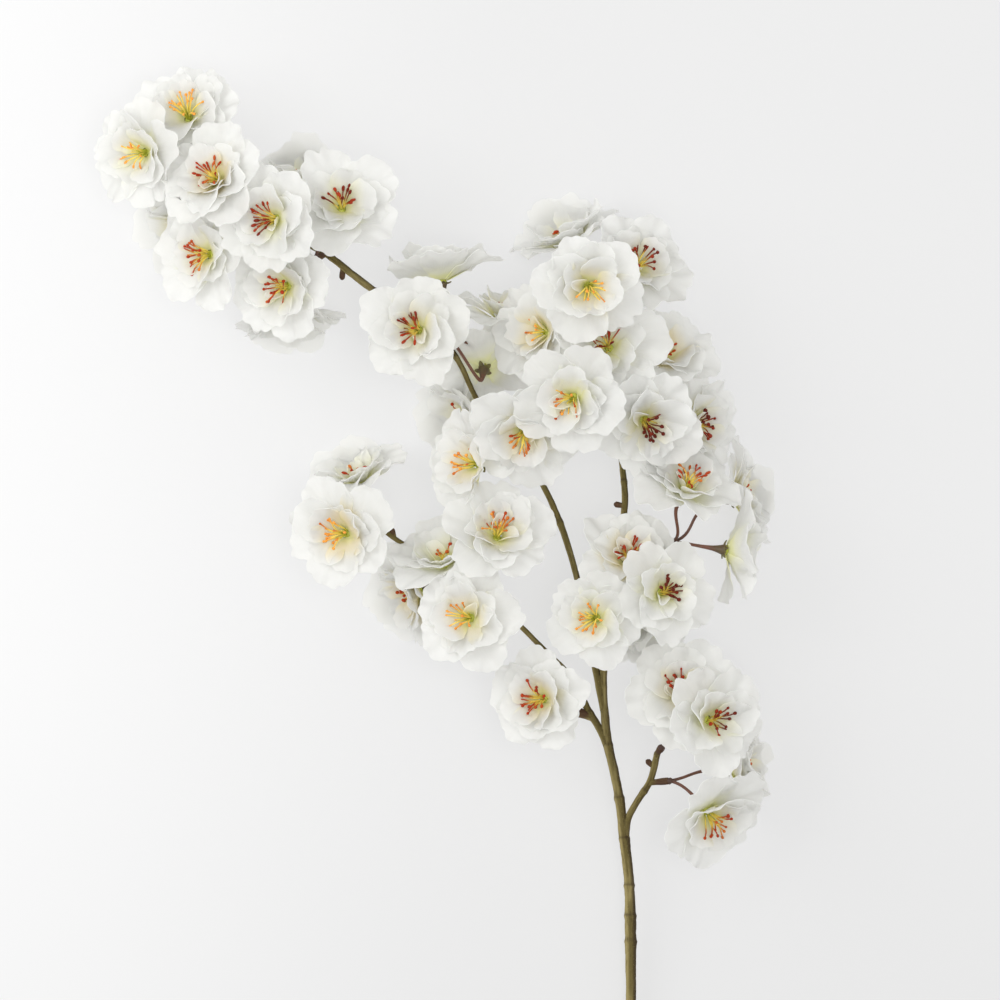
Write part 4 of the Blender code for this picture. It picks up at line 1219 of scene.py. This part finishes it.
def rows_between(root, tip, radius, shape):
    """A short limb's rows, from where along it and how thick it is there."""
    rows = []
    for share, grow in shape:
        middle = (a + (b - a) * share for a, b in zip(root, tip))
        rows.append((*middle, radius * grow))
    return rows


class BLOSSOM_OT_bark(bpy.types.Operator):
    """Model the branch: its limbs, spurs and buds in one bark"""

    bl_idname = "blossom.bark"
    bl_label = "Bark"

    def execute(self, context):
        looks = context.scene.blossom_bark
        finish = bark_material(looks)
        limbs = []
        for name, rows in LIMBS.items():
            limbs.append(limb(name, rows, looks, finish, STEM_SIDES if name == "stem" else LIMB_SIDES))
        for name, (root, knob, radius) in SPURS.items():
            rows = ((*root, radius), *rows_between(root, knob, radius, SPUR_SHAPE))
            limbs.append(limb(f"spur_{name}", rows, looks, finish, TWIG_SIDES, SPUR_DARK))
        for number, (root, tip) in enumerate(BUDS):
            rows = rows_between(root, tip, BUD_RADIUS, BUD_SHAPE)
            limbs.append(limb(f"bud_{number}", rows, looks, finish, TWIG_SIDES, BUD_DARK))
        branch = limbs[0]
        show_cut(branch)
        fuse(branch, limbs[1:])
        branch.name = "bark"
        finish_piece(branch, "bark", "branch")
        return {"FINISHED"}


class BLOSSOM_OT_stage(bpy.types.Operator):
    """Make the floor, the soft lights and the camera, which looks straight down"""

    bl_idname = "blossom.stage"
    bl_label = "Stage"

    def execute(self, context):
        looks = context.scene.blossom_stage
        middle = Vector(place(0, 0, VIEWED_HEIGHT))
        bpy.ops.object.select_all(action="DESELECT")
        bpy.ops.mesh.primitive_plane_add(size=FLOOR_WIDTH, location=(middle.x, middle.y, 0))
        floor = context.object
        floor.name = "floor"
        floor.data.transform(floor.matrix_world)
        floor.matrix_world.identity()
        floor.data.materials.append(floor_material(looks))
        for name, size, offset in LAMPS:
            spot = middle + Vector(offset)
            aim = (middle - spot).to_track_quat("-Z", "Y").to_euler()
            bpy.ops.object.light_add(type="AREA", location=spot, rotation=aim)
            context.object.name = name
            context.object.data.energy = getattr(looks, name)
            context.object.data.size = size
        world = bpy.data.worlds.new("studio")
        world.use_nodes = True
        sky = world.node_tree.nodes["Background"]
        sky.inputs["Color"].default_value = (1.0, 1.0, 1.0, 1.0)
        sky.inputs["Strength"].default_value = looks.sky
        context.scene.world = world
        bpy.ops.object.camera_add(location=middle + Vector((0, 0, looks.camera_height)), rotation=(0, 0, 0))
        camera = context.object
        camera.name = "camera"
        camera.data.sensor_width = SENSOR
        camera.data.lens = SENSOR * looks.camera_height / looks.view_width
        camera.data.clip_end = 20
        context.scene.camera = camera
        context.scene.view_settings.view_transform = "Standard"
        return {"FINISHED"}


def floor_material(looks):
    """A pale sheet whose white is a painted glow, as if a lamp shone through it from below, a little less of
    it to the right and to the near end.
    """
    sockets = {"Specular_IOR_Level": 0.1, "Emission_Strength": looks.glow}
    made, tree, shader = new_material("floor_paper", 0.85, **sockets)
    here = tree.add("ShaderNodeTexCoord").outputs["Object"]
    parts = tree.add("ShaderNodeSeparateXYZ", {"Vector": here}).outputs
    # Painted falloff of the floor's glow: a little less towards the near end and to the right
    along = tree.fade(parts["Y"], -0.27, 0.03, 0.945, 1.0)
    pale = tree.math("MULTIPLY", tree.fade(parts["X"], -0.27, 0.05, 1.0, 0.855), along)
    painted_glow = tree.add("ShaderNodeCombineColor", {"Red": pale, "Green": pale, "Blue": pale}).outputs["Color"]
    tree.links.new(painted_glow, shader.inputs["Emission Color"])
    shader.inputs["Base Color"].default_value = rgba(looks.floor)
    return made


class BLOSSOM_PT_panel(bpy.types.Panel):
    bl_label = "Apple blossom stem"
    bl_idname = "BLOSSOM_PT_panel"
    bl_space_type = "VIEW_3D"
    bl_region_type = "UI"
    bl_category = "Blossom"

    def draw(self, context):
        for name, operator in zip(SETTINGS, OPERATORS):
            self.layout.operator(operator.bl_idname)
            settings = getattr(context.scene, name)
            for key in settings.bl_rna.properties.keys():
                if key not in ("rna_type", "name"):
                    self.layout.prop(settings, key)


OPERATORS = (BLOSSOM_OT_petals, BLOSSOM_OT_stamens, BLOSSOM_OT_stalks, BLOSSOM_OT_bark, BLOSSOM_OT_stage)


def register():
    for name, settings in SETTINGS.items():
        bpy.utils.register_class(settings)
        setattr(bpy.types.Scene, name, bpy.props.PointerProperty(type=settings))
    for operator in OPERATORS:
        bpy.utils.register_class(operator)
    bpy.utils.register_class(BLOSSOM_PT_panel)


def unregister():
    bpy.utils.unregister_class(BLOSSOM_PT_panel)
    for operator in reversed(OPERATORS):
        bpy.utils.unregister_class(operator)
    for name, settings in SETTINGS.items():
        delattr(bpy.types.Scene, name)
        bpy.utils.unregister_class(settings)


def main():
    register()
    bpy.ops.blossom.petals()
    bpy.ops.blossom.stamens()
    bpy.ops.blossom.stalks()
    bpy.ops.blossom.bark()
    bpy.ops.blossom.stage()


if __name__ == "__main__":
    main()
